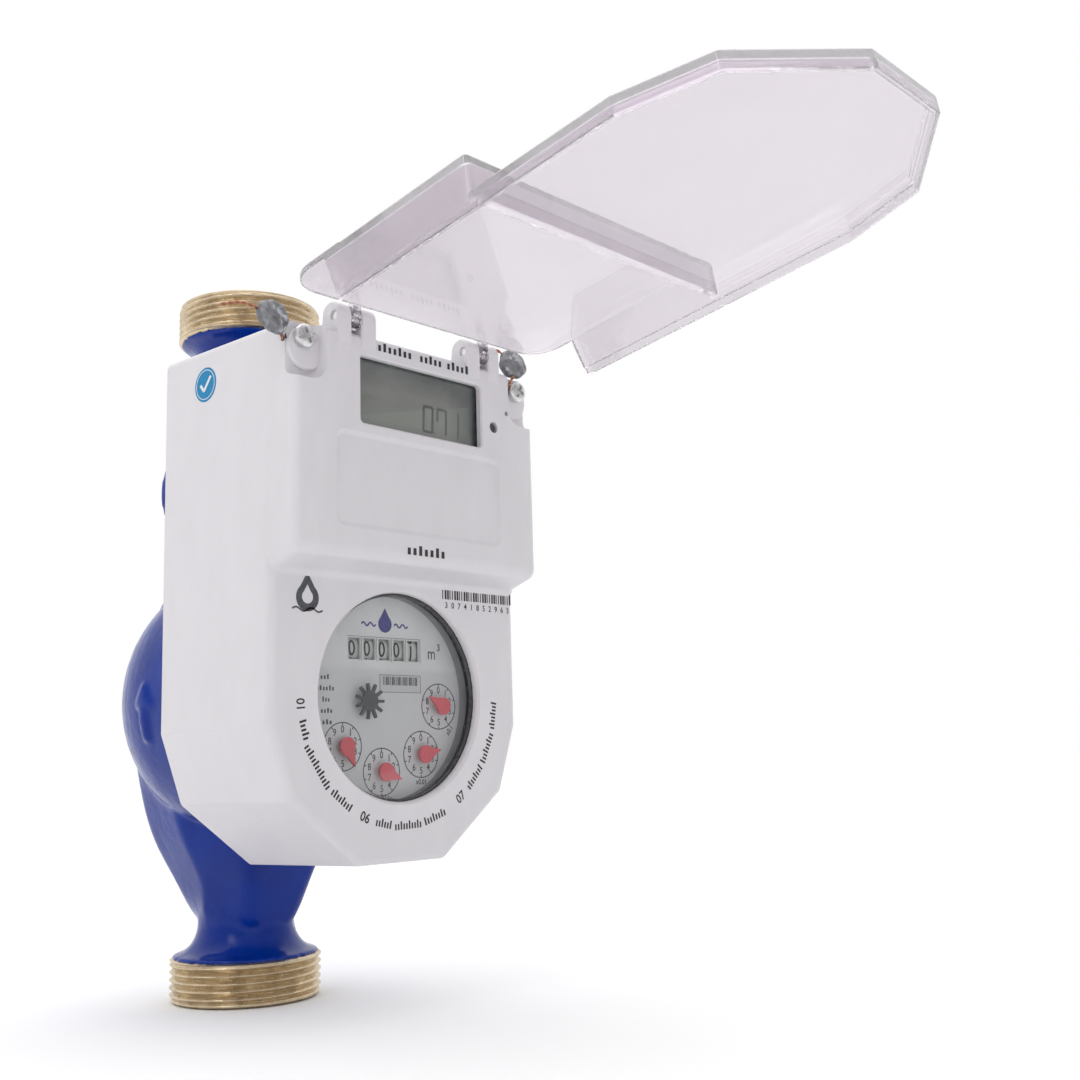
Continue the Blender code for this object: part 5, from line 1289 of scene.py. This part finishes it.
def dress_nodes():
    """Give every shown CAD node its slot's procedural finish."""
    slots = {part["node"]: part["material_slot"] for part in frame["record"]["subparts"]}
    special = {node: finish for finish, nodes in SHOWN.items() for node in nodes}
    for name, node in frame["nodes"].items():
        if node.hide_render:
            continue
        dress(node, special.get(name, slots[name]), 30)
        if name in ("rear_housing", "pressure_plate", "locking_ring", "display_button"):
            bevel = node.modifiers.new("soft", "BEVEL")
            bevel.width = 0.25 * MM
            bevel.segments = 2
            bevel.limit_method = "ANGLE"
            bevel.angle_limit = math.radians(50)


# ==== stage ==================================================================================

def make_floor():
    """A wide pale disc; it fades into the white surroundings."""
    bm = bmesh.new()
    radii = (400, 1500, 6000, 20000)
    rings = [[bm.verts.new((x, y, 0.0)) for x, y in circle(radius, 96)] for radius in radii]
    bm.faces.new(rings[0])
    for inner, outer in zip(rings, rings[1:]):
        for i in range(96):
            j = (i + 1) % 96
            bm.faces.new((inner[i], outer[i], outer[j], inner[j]))
    bm.transform(Matrix.Scale(MM, 4))
    mesh = bpy.data.meshes.new("floor")
    bm.to_mesh(mesh)
    bm.free()
    made = bpy.data.objects.new("floor", mesh)
    made.location.z = -0.3 * MM
    bpy.context.scene.collection.objects.link(made)
    paper = Finish("paper")
    fibre = paper.span(paper.noise(300.0), 0.0, 1.0)
    paper.colour(paper.mix(fibre, (0.95, 0.95, 0.953), (0.94, 0.94, 0.943)))
    paper.rough(50.0, 0.8, 0.95)
    mesh.materials.append(paper.material)
    mesh.shade_smooth()


def make_light(name, place, aim, size, power, colour=(1.0, 1.0, 1.0)):
    data = bpy.data.lights.new(name, "AREA")
    data.shape = "RECTANGLE"
    data.size, data.size_y = size
    data.energy = power
    data.color = colour
    made = bpy.data.objects.new(name, data)
    made.location = Vector(place)
    made.rotation_euler = (Vector(aim) - made.location).to_track_quat("-Z", "Y").to_euler()
    bpy.context.scene.collection.objects.link(made)


def make_lights():
    aim = (0.0, -0.05, 0.11)
    make_light("key", (-0.95, -0.35, 0.70), aim, (0.25, 0.5), 1.2, (1.0, 0.99, 0.985))
    make_light("fill", (-0.35, -1.15, 0.30), aim, (0.9, 0.9), 0.95)
    make_light("top", (-0.1, -0.1, 1.1), aim, (0.9, 0.9), 1.0)
    make_surroundings()
    bpy.context.scene.view_settings.view_transform = "Standard"


def make_surroundings():
    """White studio all round, dimmer on the side the meter faces."""
    world = bpy.data.worlds.new("studio")
    world.use_nodes = True
    tree = world.node_tree
    towards = tree.nodes.new("ShaderNodeTexCoord").outputs["Generated"]
    facing = tree.nodes.new("ShaderNodeVectorMath")
    facing.operation = "DOT_PRODUCT"
    facing.inputs[1].default_value = (0.45, 0.85, 0.15)
    ramp = tree.nodes.new("ShaderNodeMapRange")
    for socket, value in (("From Min", -0.9), ("From Max", 0.6), ("To Min", 0.40), ("To Max", 1.0)):
        ramp.inputs[socket].default_value = value
    parts = tree.nodes.new("ShaderNodeSeparateXYZ")
    above = tree.nodes.new("ShaderNodeMapRange")
    for socket, value in (("From Min", 0.55), ("From Max", 1.0), ("To Min", 0.0), ("To Max", 0.85)):
        above.inputs[socket].default_value = value
    total = tree.nodes.new("ShaderNodeMath")
    shade = tree.nodes["Background"]
    shade.inputs["Color"].default_value = (1.0, 1.0, 1.0, 1.0)
    tree.links.new(towards, facing.inputs[0])
    tree.links.new(facing.outputs["Value"], ramp.inputs["Value"])
    tree.links.new(towards, parts.inputs["Vector"])
    tree.links.new(parts.outputs["Z"], above.inputs["Value"])
    tree.links.new(ramp.outputs["Result"], total.inputs[0])
    tree.links.new(above.outputs["Result"], total.inputs[1])
    tree.links.new(total.outputs["Value"], shade.inputs["Strength"])
    bpy.context.scene.world = world


def make_camera():
    """The camera's place and heading, solved from the meter's known sizes."""
    place = Vector((-256.68, -371.87, 70.63)) * MM
    yaw, pitch, roll = (math.radians(a) for a in (47.296, 9.681, -1.780))
    ahead = Vector((math.sin(yaw) * math.cos(pitch), math.cos(yaw) * math.cos(pitch), math.sin(pitch)))
    right = Vector((math.cos(yaw), -math.sin(yaw), 0.0))
    up = right.cross(ahead)
    across = math.cos(roll) * right + math.sin(roll) * up
    over = math.cos(roll) * up - math.sin(roll) * right
    data = bpy.data.cameras.new("camera")
    data.sensor_width = 36.0
    data.lens = 43.793
    data.clip_start, data.clip_end = 0.01, 50.0
    made = bpy.data.objects.new("camera", data)
    made.matrix_world = Matrix.Translation(place) @ Matrix((across, over, -ahead)).transposed().to_4x4()
    bpy.context.scene.collection.objects.link(made)
    bpy.context.scene.camera = made


def main():
    make_camera()
    make_body()
    make_cover()
    make_screws()
    make_register()
    make_display()
    make_face_print()
    make_sticker()
    make_lid()
    make_seals()
    dress_nodes()
    make_floor()
    make_lights()


main()
